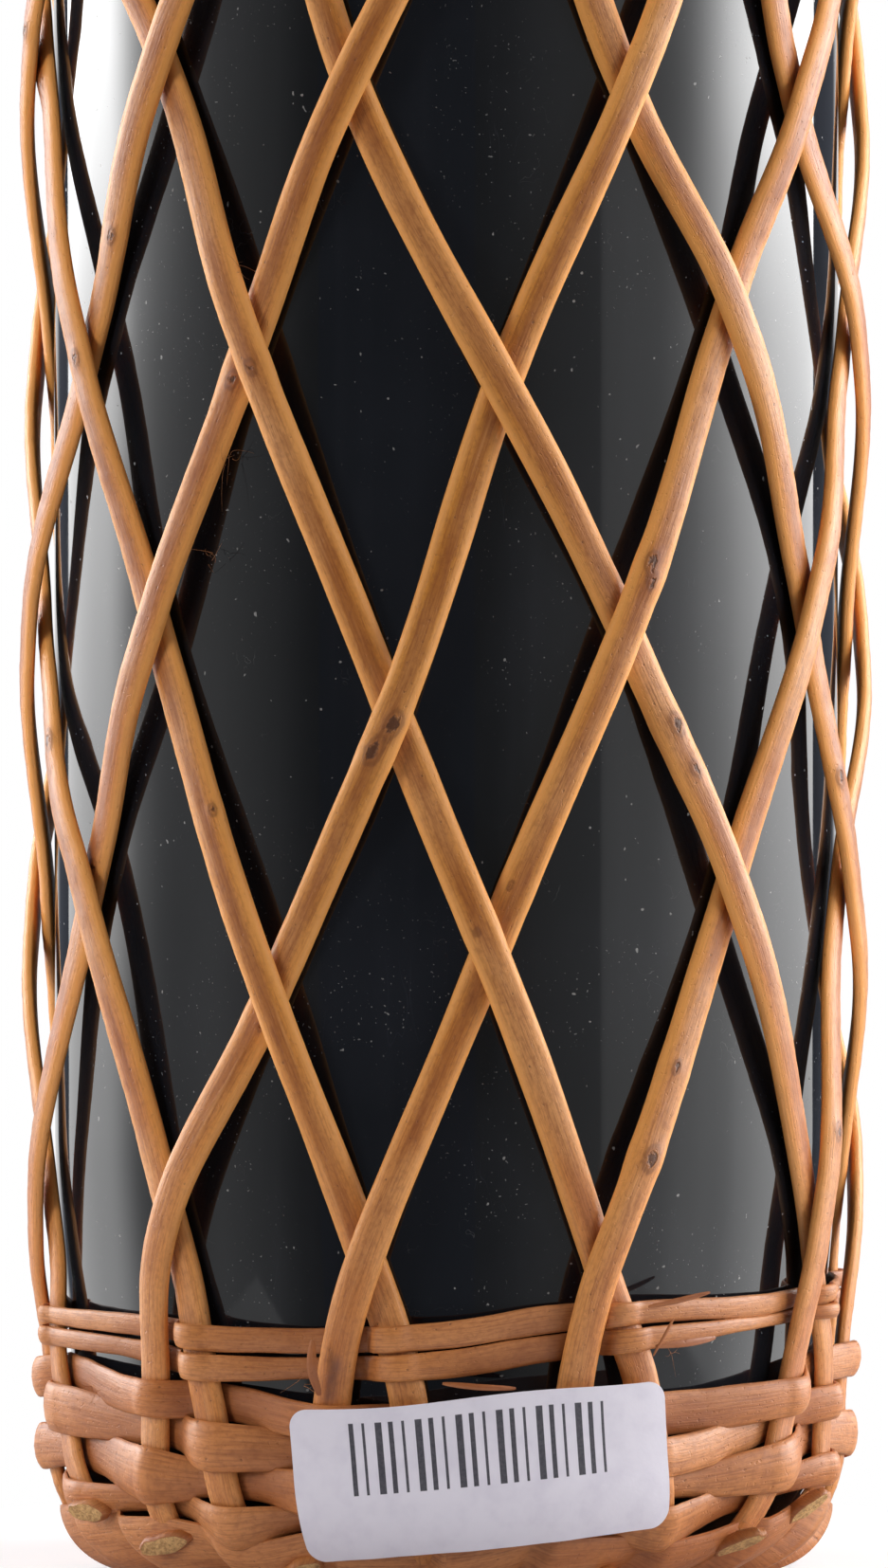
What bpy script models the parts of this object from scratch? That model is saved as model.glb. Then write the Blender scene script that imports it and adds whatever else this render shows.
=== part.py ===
"""Wicker-covered wine bottle.

A hollow glass bottle stands in a jacket of split willow. Twenty D-section stakes lean ten one way
and ten the other and weave over and under each other up the body. Flat splits weave round their
feet and round the neck, two narrow splits bind them above the base, and crossed sticks with flat
rounds close the underside. A paper sticker lies on the base weave and a capped cork shuts the bore.

Metres, +Z up, origin on the bottle's axis at the surface it stands on. A turn is an angle round
the axis from the front (-Y), positive towards +X. A station is a distance up the side of the
glass, equal to the height on the straight body. A level is a distance out from the glass.
"""

import math

import bmesh
import bpy
from mathutils import Vector

# Gap that touching pieces keep
CLEARANCE = 0.0003

FULL_TURN = 360.0

# Glass bottle
BODY_RADIUS = 0.0380
BASE_DRAW_IN = 0.0019
HEEL_RADIUS = 0.0086
TAPER_RISE = 0.0310
SHOULDER_HEIGHT = 0.1820
SHOULDER_ROUND = 0.0320
NECK_ROUND = 0.0260
NECK_RADIUS = 0.0142
GLASS_WALL = 0.0030
PUNT_RISE = 0.0130
BORE_RADIUS = 0.0096
NECK_LENGTH = 0.0570
RING_RADIUS = 0.0149
RING_HEIGHT = 0.0080
LIP_HEIGHT = 0.0030
LIP_ROUND = 0.0010
GLASS_STEPS = 32

# Stopper
CORK_RADIUS = 0.0092
CORK_LENGTH = 0.0200
CORK_CHAMFER = 0.0010
CAP_RADIUS = 0.0148
CAP_HEIGHT = 0.0115
CAP_CHAMFER = 0.0012
STOPPER_STEPS = 32

# Willow stakes
STAKE_WIDTH = 0.0037
STAKE_THICKNESS = 0.0015
STAKE_COLUMNS = 10
STAKE_TOP_SHARE = 0.78
D_SECTION_SHARES = ((-1.0, 0.0), (-0.7, 0.72), (0.0, 1.0), (0.7, 0.72), (1.0, 0.0))
TIP_CUT_SHARE = 0.6
NECK_RING_SHARES = (0.35, 0.7, 1.0)

# Lattice of crossings, rows counted from the lowest
ROW_START = 0.0365
BODY_ROWS = 6
LAST_ROW_DROP = 0.0105
SHOULDER_ROW_SHARES = (0.228, 0.575)
COLUMN_TURN = FULL_TURN / STAKE_COLUMNS
ROW_TURN = COLUMN_TURN / 2.0
FIRST_TURN = -9.5
PLATEAU = 0.0031
SHOULDER_PLATEAU_SHARE = 0.75

# Hand-laid crossings of the front, as shares of the column turn and of the row pitch
FRONT_SHIFT_SHARES = {
    (0, -1): (0.14, 0.07), (0, 0): (-0.04, -0.01), (0, 1): (-0.12, -0.01), (0, 2): (0.03, 0.0),
    (1, -2): (0.17, 0.12), (1, -1): (0.09, -0.15), (1, 0): (-0.06, 0.01), (1, 1): (-0.03, 0.22),
    (1, 2): (-0.16, 0.04),
    (2, -1): (-0.01, 0.14), (2, 0): (0.05, -0.15), (2, 1): (-0.05, 0.15), (2, 2): (-0.09, 0.13),
    (3, -2): (0.17, 0.02), (3, -1): (-0.02, 0.10), (3, 0): (-0.03, -0.05), (3, 1): (-0.05, 0.16),
    (4, -1): (0.07, 0.11), (4, 0): (-0.09, -0.05), (4, 1): (-0.02, -0.02), (4, 2): (-0.12, -0.06),
}
HAND_TURN_SHARE = 0.05
HAND_RISE_SHARE = 0.07
HAND_SHOULDER_SHARE = 0.3

# Feet of the stakes, as shares of the column turn: at the top of the base weave and at the tip
FOOT_SHARES = {
    ("right", -1): (-0.03, -0.05), ("right", 0): (-0.19, -0.24), ("right", 1): (-0.22, -0.26),
    ("right", 2): (-0.08, -0.32),
    ("left", -2): (0.14, 0.46), ("left", -1): (0.24, 0.39), ("left", 0): (0.11, 0.17),
    ("left", 1): (0.08, 0.22), ("left", 2): (0.26, 0.24),
}
FOOT_SHARE = (0.17, 0.24)

# Flat splits woven round the stakes
SPLIT_THICKNESS = 0.0007
BASE_ROWS = 4
BASE_TOP = 0.0194
BASE_ROW_PITCH = 0.0043
BASE_ROW_HEIGHT = 0.0039
BAND_START = 0.0212
BAND_HEIGHT = 0.0024
BAND_GAP = 0.0003
BAND_TILT = 0.0013
COLLAR_ROWS = 4
COLLAR_RISE = 0.0115
COLLAR_ROW_PITCH = 0.0042
COLLAR_ROW_HEIGHT = 0.0038
COLLAR_TIP = 0.0012
DRAPE_SHARE = 0.82
DRAPE_DROP_SHARE = 0.35
SPLIT_END_GAP = 0.0003
SPLIT_END_TURN = 180.0
WIDEST_STEP = 18.0

# Border that the bottle stands on
BORDER_LAP = 0.0005
BORDER_FOOT_WIDTH = 0.0046
BORDER_TOP_GAP = 0.0002
BORDER_PROUD_SHARE = 0.82
BORDER_DRAWN_SHARE = 1.5
SHORT_TIP = 0.0007
LONG_TIP = 0.0024

# Woven underside
STICK_RADIUS = 0.0006
STICK_COUNT = 4
STICK_SIDES_RESOLUTION = 1
SLATH_MARGIN = 0.0029
ROUND_THICKNESS = 0.0004
ROUND_COUNT = 3
ROUND_WIDTH = 0.0036
ROUND_PITCH = 0.0041
ROUND_GAP = 0.0008
FLOOR_GAP = 0.0003

# Sticker
STICKER_WIDTH = 0.0375
STICKER_HEIGHT = 0.0148
STICKER_CORNER = 0.0018
STICKER_THICKNESS = 0.0002
STICKER_TURN = 5.0
STICKER_STATION = 0.0121
STICKER_TILT = 4.6
STICKER_COLUMNS = 10
STICKER_CORNER_SHARES = (0.0, 0.3, 1.0)
STICKER_ROW_SHARES = (-1.0, -0.5, 0.0, 1.0)

# Levels out from the glass
BEHIND_LEVEL = CLEARANCE
UNDER_LEVEL = CLEARANCE
STAKE_LEVEL = CLEARANCE + SPLIT_THICKNESS + CLEARANCE
FRONT_LEVEL = STAKE_LEVEL + STAKE_THICKNESS + CLEARANCE

# Heights and radii that follow
BASE_RADIUS = BODY_RADIUS - BASE_DRAW_IN
BASE_DEPTH = FLOOR_GAP + 2.0 * (ROUND_THICKNESS + STICK_RADIUS) + 3.0 * CLEARANCE
HEEL_HEIGHT = BASE_DEPTH + HEEL_RADIUS
HEEL_CENTRE_RADIUS = BASE_RADIUS - HEEL_RADIUS
HEEL_UNROLL = HEEL_RADIUS + FRONT_LEVEL
BORDER_INNER_RADIUS = HEEL_CENTRE_RADIUS - BORDER_LAP
ROUND_OUTER_RADIUS = BORDER_INNER_RADIUS - ROUND_GAP
SLATH_RADIUS = ROUND_OUTER_RADIUS - ROUND_COUNT * ROUND_PITCH - SLATH_MARGIN
ROW_PITCH = (SHOULDER_HEIGHT - LAST_ROW_DROP - ROW_START) / (BODY_ROWS - 1)
ROW_COUNT = BODY_ROWS + len(SHOULDER_ROW_SHARES)
BASE_GAP = BASE_ROW_PITCH - BASE_ROW_HEIGHT
BASE_JOIN = BASE_TOP + BASE_GAP / 2.0
BORDER_TOP = BASE_TOP - BASE_ROWS * BASE_ROW_PITCH - BORDER_TOP_GAP


def arc_meeting_angle(body_radius, body_round, neck_radius, neck_round):
    """Angle from the horizontal at which the shoulder's two arcs meet."""
    run = neck_radius + neck_round - (body_radius - body_round)
    return math.acos(run / (body_round + neck_round))


MEETING_ANGLE = arc_meeting_angle(BODY_RADIUS, SHOULDER_ROUND, NECK_RADIUS, NECK_ROUND)
SHOULDER_ARC = SHOULDER_ROUND * MEETING_ANGLE
NECK_ARC = NECK_ROUND * MEETING_ANGLE
NECK_STATION = SHOULDER_HEIGHT + SHOULDER_ARC + NECK_ARC
NECK_START_HEIGHT = SHOULDER_HEIGHT + (SHOULDER_ROUND + NECK_ROUND) * math.sin(MEETING_ANGLE)
RING_START_HEIGHT = NECK_START_HEIGHT + NECK_LENGTH
MOUTH_HEIGHT = RING_START_HEIGHT + RING_HEIGHT + LIP_HEIGHT
COLLAR_START = NECK_STATION + COLLAR_RISE
COLLAR_END = COLLAR_START + COLLAR_ROWS * COLLAR_ROW_PITCH + COLLAR_TIP


def clear_scene():
    """Remove the objects and collections that a new file holds."""
    for old_object in list(bpy.data.objects):
        bpy.data.objects.remove(old_object, do_unlink=True)
    for old_collection in list(bpy.data.collections):
        bpy.data.collections.remove(old_collection)


def make_material(name, colour, roughness, metallic=0.0):
    """Principled material with one plain colour."""
    material = bpy.data.materials.new(name)
    material.use_nodes = True
    shader = material.node_tree.nodes["Principled BSDF"]
    shader.inputs["Base Color"].default_value = (*colour, 1.0)
    shader.inputs["Roughness"].default_value = roughness
    shader.inputs["Metallic"].default_value = metallic
    return material


def smooth_step(share):
    """Smooth rise from 0 to 1 as the share does, level at both ends."""
    share = min(max(share, 0.0), 1.0)
    return share * share * (3.0 - 2.0 * share)


def body_radius(height, wall=0.0):
    """Radius of the glass between the heel and the shoulder, less a wall."""
    share = smooth_step((height - HEEL_HEIGHT) / TAPER_RISE)
    return BASE_RADIUS + (BODY_RADIUS - BASE_RADIUS) * share - wall


def side_frame(station):
    """Radius, height and outward normal of the glass at a station up its side."""
    if station < HEEL_HEIGHT:
        angle = (HEEL_HEIGHT - station) / HEEL_UNROLL
        normal = (math.cos(angle), -math.sin(angle))
        return (
            HEEL_CENTRE_RADIUS + HEEL_RADIUS * normal[0],
            HEEL_HEIGHT + HEEL_RADIUS * normal[1],
            normal,
        )
    if station < SHOULDER_HEIGHT:
        return body_radius(station), station, (1.0, 0.0)
    if station < SHOULDER_HEIGHT + SHOULDER_ARC:
        angle = (station - SHOULDER_HEIGHT) / SHOULDER_ROUND
        normal = (math.cos(angle), math.sin(angle))
        return (
            BODY_RADIUS - SHOULDER_ROUND + SHOULDER_ROUND * normal[0],
            SHOULDER_HEIGHT + SHOULDER_ROUND * normal[1],
            normal,
        )
    if station < NECK_STATION:
        angle = (NECK_STATION - station) / NECK_ROUND
        normal = (math.cos(angle), math.sin(angle))
        return (
            NECK_RADIUS + NECK_ROUND - NECK_ROUND * normal[0],
            NECK_START_HEIGHT - NECK_ROUND * normal[1],
            normal,
        )
    return NECK_RADIUS, NECK_START_HEIGHT + station - NECK_STATION, (1.0, 0.0)


def side_radius(station, level):
    """Distance from the axis at a level out from the glass."""
    radius, _, normal = side_frame(station)
    return radius + level * normal[0]


def round_axis(radius, height, turn):
    """Point at a radius, height and turn in degrees from the front."""
    angle = math.radians(turn)
    return Vector((radius * math.sin(angle), -radius * math.cos(angle), height))


def side_point(turn, station, level):
    """Point at a level out from the glass."""
    radius, height, normal = side_frame(station)
    return round_axis(radius + level * normal[0], height + level * normal[1], turn)


def finish_object(name, mesh, material, collection):
    """Turn the faces outward, shade the mesh smooth and link it as a named object."""
    work = bmesh.new()
    work.from_mesh(mesh)
    bmesh.ops.recalc_face_normals(work, faces=work.faces)
    work.to_mesh(mesh)
    work.free()
    mesh.shade_smooth()
    mesh.set_sharp_from_angle(angle=math.radians(40.0))
    mesh.materials.append(material)
    made = bpy.data.objects.new(name, mesh)
    collection.objects.link(made)
    return made


def loft_object(name, rings, material, collection, origin=Vector((0.0, 0.0, 0.0))):
    """Closed solid through rings of points, with a flat cap at each end."""
    sides = len(rings[0])
    points = [point - origin for ring in rings for point in ring]
    faces = []
    for ring in range(len(rings) - 1):
        for side in range(sides):
            near = ring * sides
            after = (side + 1) % sides
            faces.append((near + side, near + after, near + sides + after, near + sides + side))
    faces.append(tuple(range(sides)))
    last = (len(rings) - 1) * sides
    faces.append(tuple(last + side for side in reversed(range(sides))))
    mesh = bpy.data.meshes.new(name)
    mesh.from_pydata(points, [], faces)
    made = finish_object(name, mesh, material, collection)
    made.location = origin
    return made


def arc_points(centre_radius, centre_height, radius, first, last, steps):
    """Points on an arc in the profile plane, angles in degrees from +X."""
    points = []
    for step in range(steps + 1):
        angle = math.radians(first + (last - first) * step / steps)
        points.append(
            (centre_radius + radius * math.cos(angle), centre_height + radius * math.sin(angle))
        )
    return points


def shoulder_points(body, body_round, neck, neck_round, steps):
    """The shoulder's convex and concave arcs, from the body up to the neck."""
    angle = arc_meeting_angle(body, body_round, neck, neck_round)
    degrees = math.degrees(angle)
    top = SHOULDER_HEIGHT + (body_round + neck_round) * math.sin(angle)
    lower = arc_points(body - body_round, SHOULDER_HEIGHT, body_round, 0.0, degrees, steps)
    upper = arc_points(neck + neck_round, top, neck_round, 180.0 + degrees, 180.0, steps)
    return lower + upper[1:]


def punt_points(edge_radius, edge_height, rise, shares):
    """Dome of the punt, from the axis out to its edge."""
    return [
        (edge_radius * share, edge_height + rise * (1.0 - share * share)) for share in shares
    ]


def glass_profile():
    """Half section of the bottle: up its inside, over the lip and down its outside."""
    taper_shares = (0.25, 0.5, 0.75, 1.0)
    inner_taper_shares = (0.5, 1.0)
    punt_shares = (0.0, 0.35, 0.65, 0.85)
    inner_heel = HEEL_RADIUS - GLASS_WALL
    inside = punt_points(HEEL_CENTRE_RADIUS, HEEL_HEIGHT - inner_heel, PUNT_RISE, punt_shares)
    inside += arc_points(HEEL_CENTRE_RADIUS, HEEL_HEIGHT, inner_heel, -90.0, 0.0, 3)
    for share in inner_taper_shares:
        height = HEEL_HEIGHT + TAPER_RISE * share
        inside.append((body_radius(height, GLASS_WALL), height))
    inside += shoulder_points(
        BODY_RADIUS - GLASS_WALL,
        SHOULDER_ROUND - GLASS_WALL,
        BORE_RADIUS,
        NECK_ROUND + GLASS_WALL,
        3,
    )
    inside.append((BORE_RADIUS, MOUTH_HEIGHT))
    outside = [(NECK_RADIUS - LIP_ROUND, MOUTH_HEIGHT), (NECK_RADIUS, MOUTH_HEIGHT - LIP_ROUND)]
    outside += [
        (NECK_RADIUS, MOUTH_HEIGHT - LIP_HEIGHT),
        (RING_RADIUS, MOUTH_HEIGHT - LIP_HEIGHT - LIP_ROUND),
        (RING_RADIUS, RING_START_HEIGHT + LIP_ROUND),
        (NECK_RADIUS, RING_START_HEIGHT),
    ]
    shoulder = shoulder_points(BODY_RADIUS, SHOULDER_ROUND, NECK_RADIUS, NECK_ROUND, 5)
    outside += reversed(shoulder)
    for share in reversed(taper_shares):
        height = HEEL_HEIGHT + TAPER_RISE * share
        outside.append((body_radius(height), height))
    outside += arc_points(HEEL_CENTRE_RADIUS, HEEL_HEIGHT, HEEL_RADIUS, 0.0, -90.0, 5)
    outside += reversed(punt_points(HEEL_CENTRE_RADIUS, BASE_DEPTH, PUNT_RISE, punt_shares))
    return inside + outside


def turned_object(name, profile, steps, material, collection, origin_height=0.0):
    """Solid turned from a half section with a Screw modifier."""
    mesh = bpy.data.meshes.new(name)
    points = [(radius, 0.0, height - origin_height) for radius, height in profile]
    mesh.from_pydata(points, [(near, near + 1) for near in range(len(points) - 1)], [])
    mesh.materials.append(material)
    made = bpy.data.objects.new(name, mesh)
    made.location = (0.0, 0.0, origin_height)
    collection.objects.link(made)
    screw = made.modifiers.new("Turn", "SCREW")
    screw.steps = steps
    screw.render_steps = steps
    screw.use_smooth_shade = True
    screw.use_merge_vertices = True
    screw.merge_threshold = CLEARANCE / 30.0
    return made


def hand_shift(row, column):
    """How far a crossing strays, in shares of the column turn and of the row pitch."""
    near_column = (column + STAKE_COLUMNS // 2) % STAKE_COLUMNS - STAKE_COLUMNS // 2
    if (row, near_column) in FRONT_SHIFT_SHARES:
        return FRONT_SHIFT_SHARES[(row, near_column)]
    size = 1.0 if row < BODY_ROWS else HAND_SHOULDER_SHARE
    return (
        size * HAND_TURN_SHARE * math.sin(2.4 * near_column + 1.9 * row),
        size * HAND_RISE_SHARE * math.cos(1.7 * near_column + 2.6 * row),
    )


def row_station(row):
    """Station of a row of crossings, before its crossings stray."""
    if row < BODY_ROWS:
        return ROW_START + ROW_PITCH * row
    share = SHOULDER_ROW_SHARES[row - BODY_ROWS]
    return SHOULDER_HEIGHT + (NECK_STATION - SHOULDER_HEIGHT) * share


def stake_scale(station):
    """Share of its full width and thickness that a stake keeps as it thins up the shoulder."""
    start = row_station(BODY_ROWS - 1)
    return 1.0 - (1.0 - STAKE_TOP_SHARE) * smooth_step((station - start) / (NECK_STATION - start))


def stake_thickness(station):
    """Thickness of a stake at a station."""
    return STAKE_THICKNESS * stake_scale(station)


def blend_through(stops, place):
    """Value on straight runs through (place, value) stops."""
    if place <= stops[0][0]:
        return stops[0][1]
    for (near, near_value), (far, far_value) in zip(stops, stops[1:]):
        if place <= far:
            return near_value + (far_value - near_value) * (place - near) / (far - near)
    return stops[-1][1]


def curve_through(stops, place):
    """Value on a smooth curve through (place, value) stops."""
    count = len(stops)
    if place <= stops[0][0]:
        return stops[0][1]
    for index in range(count - 1):
        near, near_value = stops[index]
        far, far_value = stops[index + 1]
        if place > far:
            continue
        before, before_value = stops[max(index - 1, 0)]
        after, after_value = stops[min(index + 2, count - 1)]
        near_slope = (far_value - before_value) / (far - before)
        far_slope = (after_value - near_value) / (after - near)
        share = (place - near) / (far - near)
        cube = share * share * share
        square = share * share
        return (
            (2.0 * cube - 3.0 * square + 1.0) * near_value
            + (cube - 2.0 * square + share) * (far - near) * near_slope
            + (3.0 * square - 2.0 * cube) * far_value
            + (cube - square) * (far - near) * far_slope
        )
    return stops[-1][1]


class Stake:
    """One willow stake: where it runs round the bottle and how far out it lies."""

    def __init__(self, family, column):
        self.family = family
        self.column = column
        self.lean = 1.0 if family == "right" else -1.0
        self.tip = BORDER_TOP + SHORT_TIP if family == "right" else BORDER_TOP - LONG_TIP
        first = FIRST_TURN + COLUMN_TURN * column
        self.rows = [self.crossing(row, first) for row in range(ROW_COUNT)]
        near_column = (column + STAKE_COLUMNS // 2) % STAKE_COLUMNS - STAKE_COLUMNS // 2
        plain = (-self.lean * FOOT_SHARE[0], -self.lean * FOOT_SHARE[1])
        top_share, tip_share = FOOT_SHARES.get((family, near_column), plain)
        neck_turn = first + self.lean * ROW_TURN * (ROW_COUNT - 0.5)
        self.turns = [
            (self.tip, first + COLUMN_TURN * tip_share),
            (BASE_JOIN, first + COLUMN_TURN * top_share),
        ]
        self.turns += [(station, turn) for station, turn, _ in self.rows]
        self.turns += [(NECK_STATION, neck_turn), (COLLAR_END, neck_turn)]
        self.levels = [(self.tip, STAKE_LEVEL), (BASE_JOIN, STAKE_LEVEL)]
        for row, (station, _, level) in enumerate(self.rows):
            reach = PLATEAU if row < BODY_ROWS else PLATEAU * SHOULDER_PLATEAU_SHARE
            self.levels += [(station - reach, level), (station + reach, level)]
        self.levels += [(NECK_STATION, STAKE_LEVEL), (COLLAR_END, STAKE_LEVEL)]

    def crossing(self, row, first):
        """Station, turn and level of this stake at a row of crossings."""
        if self.family == "right":
            column = self.column + row // 2
        else:
            column = self.column - (row + 1) // 2
        turn_share, rise_share = hand_shift(row, column)
        turn = first + self.lean * ROW_TURN * row + COLUMN_TURN * turn_share
        station = row_station(row) + ROW_PITCH * rise_share
        on_top = (row % 2 == 0) == (self.family == "right")
        level = UNDER_LEVEL + on_top * (stake_thickness(station) + CLEARANCE)
        return station, turn, level

    def turn_at(self, station):
        """Turn of the stake's middle line."""
        return curve_through(self.turns, station)

    def level_at(self, station):
        """Level of the stake's flat face."""
        return blend_through(self.levels, station)

    def ring_stations(self):
        """Stations at which the stake's sections stand."""
        joins = [BASE_JOIN] + [BASE_JOIN - BASE_ROW_PITCH * row for row in range(2, BASE_ROWS + 1)]
        stations = [self.tip] + [join for join in joins if join > self.tip + CLEARANCE]
        bends = [station for station, _ in self.levels[2:-2]]
        for near, far in zip(bends[0::2], bends[1::2]):
            stations += [near, far]
        for near, far in zip(bends[1::2], bends[2::2]):
            stations.append((near + far) / 2.0)
        last = bends[-1]
        stations += [last + (NECK_STATION - last) * share for share in NECK_RING_SHARES]
        stations.append(COLLAR_END)
        return sorted(stations)

    def ring(self, station):
        """D-shaped section square to the stake, flat side to the glass."""
        step = SPLIT_THICKNESS
        turn = self.turn_at(station)
        level = self.level_at(station)
        radius = side_radius(station, level)
        swing = math.radians(self.turn_at(station + step) - self.turn_at(station - step)) * radius
        rise = 2.0 * step
        slope = math.atan2(swing, rise)
        middle = side_point(turn, station, level)
        out = (side_point(turn, station, level + step) - middle).normalized()
        round_way = round_axis(1.0, 0.0, turn + 90.0)
        up_way = out.cross(round_way)
        across = round_way * math.cos(slope) - up_way * math.sin(slope)
        along = round_way * math.sin(slope) + up_way * math.cos(slope)
        half = STAKE_WIDTH * stake_scale(station) / 2.0
        thickness = stake_thickness(station)
        cut = 0.0
        if station == self.tip:
            cut = thickness * TIP_CUT_SHARE
        if station == COLLAR_END:
            cut = -thickness * TIP_CUT_SHARE
        return [
            middle + across * half * side + out * thickness * height + along * cut * height
            for side, height in D_SECTION_SHARES
        ]


def fill_wide_steps(stops):
    """Add a stop halfway across each step that is too wide for a straight run round the glass."""
    filled = [stops[0]]
    for near, far in zip(stops, stops[1:]):
        if far[0] - near[0] > WIDEST_STEP:
            filled.append(tuple((a + b) / 2.0 for a, b in zip(near, far)))
        filled.append(far)
    return filled


def split_rings(stakes, low, high, in_front, tilt=0.0):
    """Rings of a flat split woven round the stakes, its two ends behind one of them.

    in_front names the family that the split passes in front of. It drapes over the rounded
    back of each of those stakes and lies on the glass behind the others.
    """

    def rise(turn):
        return tilt * math.sin(math.radians(turn))

    def ring(turn, level):
        shift = rise(turn)
        return [
            side_point(turn, low + shift, level),
            side_point(turn, low + shift, level + SPLIT_THICKNESS),
            side_point(turn, high + shift, level + SPLIT_THICKNESS),
            side_point(turn, high + shift, level),
        ]

    middle = (low + high) / 2.0
    passes = []
    for stake in stakes:
        turn = stake.turn_at(middle + rise(stake.turn_at(middle)))
        bottom = low + rise(turn)
        top = high + rise(turn)
        radius = side_radius(middle, STAKE_LEVEL)
        lean = abs(stake.turn_at(top) - stake.turn_at(bottom)) / 2.0
        slope = math.atan2(2.0 * math.radians(lean) * radius, high - low)
        half = STAKE_WIDTH * stake_scale(middle) / 2.0 / math.cos(slope)
        if stake.family == in_front:
            level = max(stake.level_at(bottom), stake.level_at(top))
            crown = level + stake_thickness(middle) + CLEARANCE
            edge = crown - stake_thickness(middle) * DRAPE_DROP_SHARE
            reach = math.degrees(half * DRAPE_SHARE / radius) + lean * DRAPE_SHARE
            stops = [(turn - reach, edge), (turn, crown), (turn + reach, edge)]
        else:
            reach = math.degrees((half + CLEARANCE / 2.0) / radius) + lean
            stops = [(turn - reach, BEHIND_LEVEL), (turn + reach, BEHIND_LEVEL)]
        passes.append((turn % FULL_TURN, turn, stops, stake.family == in_front))
    passes.sort(key=lambda entry: entry[0])
    back = next(
        index
        for index, (place, _, _, front) in enumerate(passes)
        if place > SPLIT_END_TURN and not front
    )
    ordered = passes[back:] + passes[:back]
    gap = math.degrees(SPLIT_END_GAP / side_radius(middle, BEHIND_LEVEL))
    first, first_turn, first_stops, _ = ordered[0]
    before = first_stops[0][0] - first_turn
    after = first_stops[-1][0] - first_turn
    rings = [(first + gap, BEHIND_LEVEL), (first + after, BEHIND_LEVEL)]
    for place, turn, stops, _ in ordered[1:]:
        whole = place - turn + (FULL_TURN if place < first else 0.0)
        rings += [(stop + whole, level) for stop, level in stops]
    rings.append((first + FULL_TURN + before, BEHIND_LEVEL))
    rings.append((first + FULL_TURN - gap, BEHIND_LEVEL))
    return [ring(turn, level) for turn, level in fill_wide_steps(rings)]


def make_base_weavers(stakes, material, collection):
    """Wide splits round the feet of the stakes."""
    for row in range(BASE_ROWS):
        high = BASE_TOP - BASE_ROW_PITCH * row
        in_front = "right" if row % 2 == 0 else "left"
        rings = split_rings(stakes, high - BASE_ROW_HEIGHT, high, in_front)
        origin = Vector((0.0, 0.0, high))
        loft_object(f"base_weaver_{row + 1}", rings, material, collection, origin)


def make_bands(stakes, material, collection):
    """Two narrow splits that bind the stakes above the base weave."""
    for index, name in enumerate(("band_split_lower", "band_split_upper")):
        low = BAND_START + index * (BAND_HEIGHT + BAND_GAP)
        rings = split_rings(stakes, low, low + BAND_HEIGHT, "left", BAND_TILT)
        loft_object(name, rings, material, collection, Vector((0.0, 0.0, low)))


def make_collar(stakes, material, collection):
    """Splits woven round the stakes on the neck."""
    for row in range(COLLAR_ROWS):
        low = COLLAR_START + COLLAR_ROW_PITCH * row
        in_front = "right" if row % 2 == 0 else "left"
        rings = split_rings(stakes, low, low + COLLAR_ROW_HEIGHT, in_front)
        height = side_frame(low)[1]
        name = f"collar_weaver_{row + 1}"
        loft_object(name, rings, material, collection, Vector((0.0, 0.0, height)))


def border_ring(turn, depth):
    """Section of the border: flat foot, rounded outside at the given depth of weave."""
    inner = HEEL_RADIUS + 2.0 * CLEARANCE
    outer = HEEL_RADIUS + depth
    top_angle = math.degrees((HEEL_HEIGHT - BORDER_TOP) / HEEL_UNROLL)
    foot_angle = top_angle + (90.0 - top_angle) / 3.0
    outline = [
        (BORDER_INNER_RADIUS, 0.0),
        (HEEL_CENTRE_RADIUS + BORDER_FOOT_WIDTH, 0.0),
    ]
    outline += arc_points(HEEL_CENTRE_RADIUS, HEEL_HEIGHT, outer, -foot_angle, -top_angle, 1)
    outline += arc_points(HEEL_CENTRE_RADIUS, HEEL_HEIGHT, inner, -top_angle, -90.0, 2)
    outline[-1] = (BORDER_INNER_RADIUS, HEEL_HEIGHT - inner)
    return [round_axis(radius, height, turn) for radius, height in outline]


def make_border(stakes, material, collection):
    """Border that the bottle stands on, proud over the short tips and drawn in behind the long."""
    proud = FRONT_LEVEL + SPLIT_THICKNESS
    drawn_in = STAKE_LEVEL - CLEARANCE
    rings = []
    for stake in stakes:
        turn = stake.turn_at(stake.tip)
        half = math.degrees(STAKE_WIDTH / 2.0 / side_radius(BORDER_TOP, STAKE_LEVEL))
        reach = half * (BORDER_PROUD_SHARE if stake.family == "right" else BORDER_DRAWN_SHARE)
        depth = proud if stake.family == "right" else drawn_in
        rings += [((turn - reach) % FULL_TURN, depth), ((turn + reach) % FULL_TURN, depth)]
    rings.sort()
    around = fill_wide_steps(rings + [(rings[0][0] + FULL_TURN, rings[0][1])])
    sections = [border_ring(turn, depth) for turn, depth in around[:-1]]
    sides = len(sections[0])
    mesh = bpy.data.meshes.new("base_border")
    points = [point for section in sections for point in section]
    faces = []
    for index in range(len(sections)):
        near = index * sides
        far = (index + 1) % len(sections) * sides
        for side in range(sides):
            after = (side + 1) % sides
            faces.append((near + side, near + after, far + after, far + side))
    mesh.from_pydata(points, [], faces)
    finish_object("base_border", mesh, material, collection)


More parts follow.
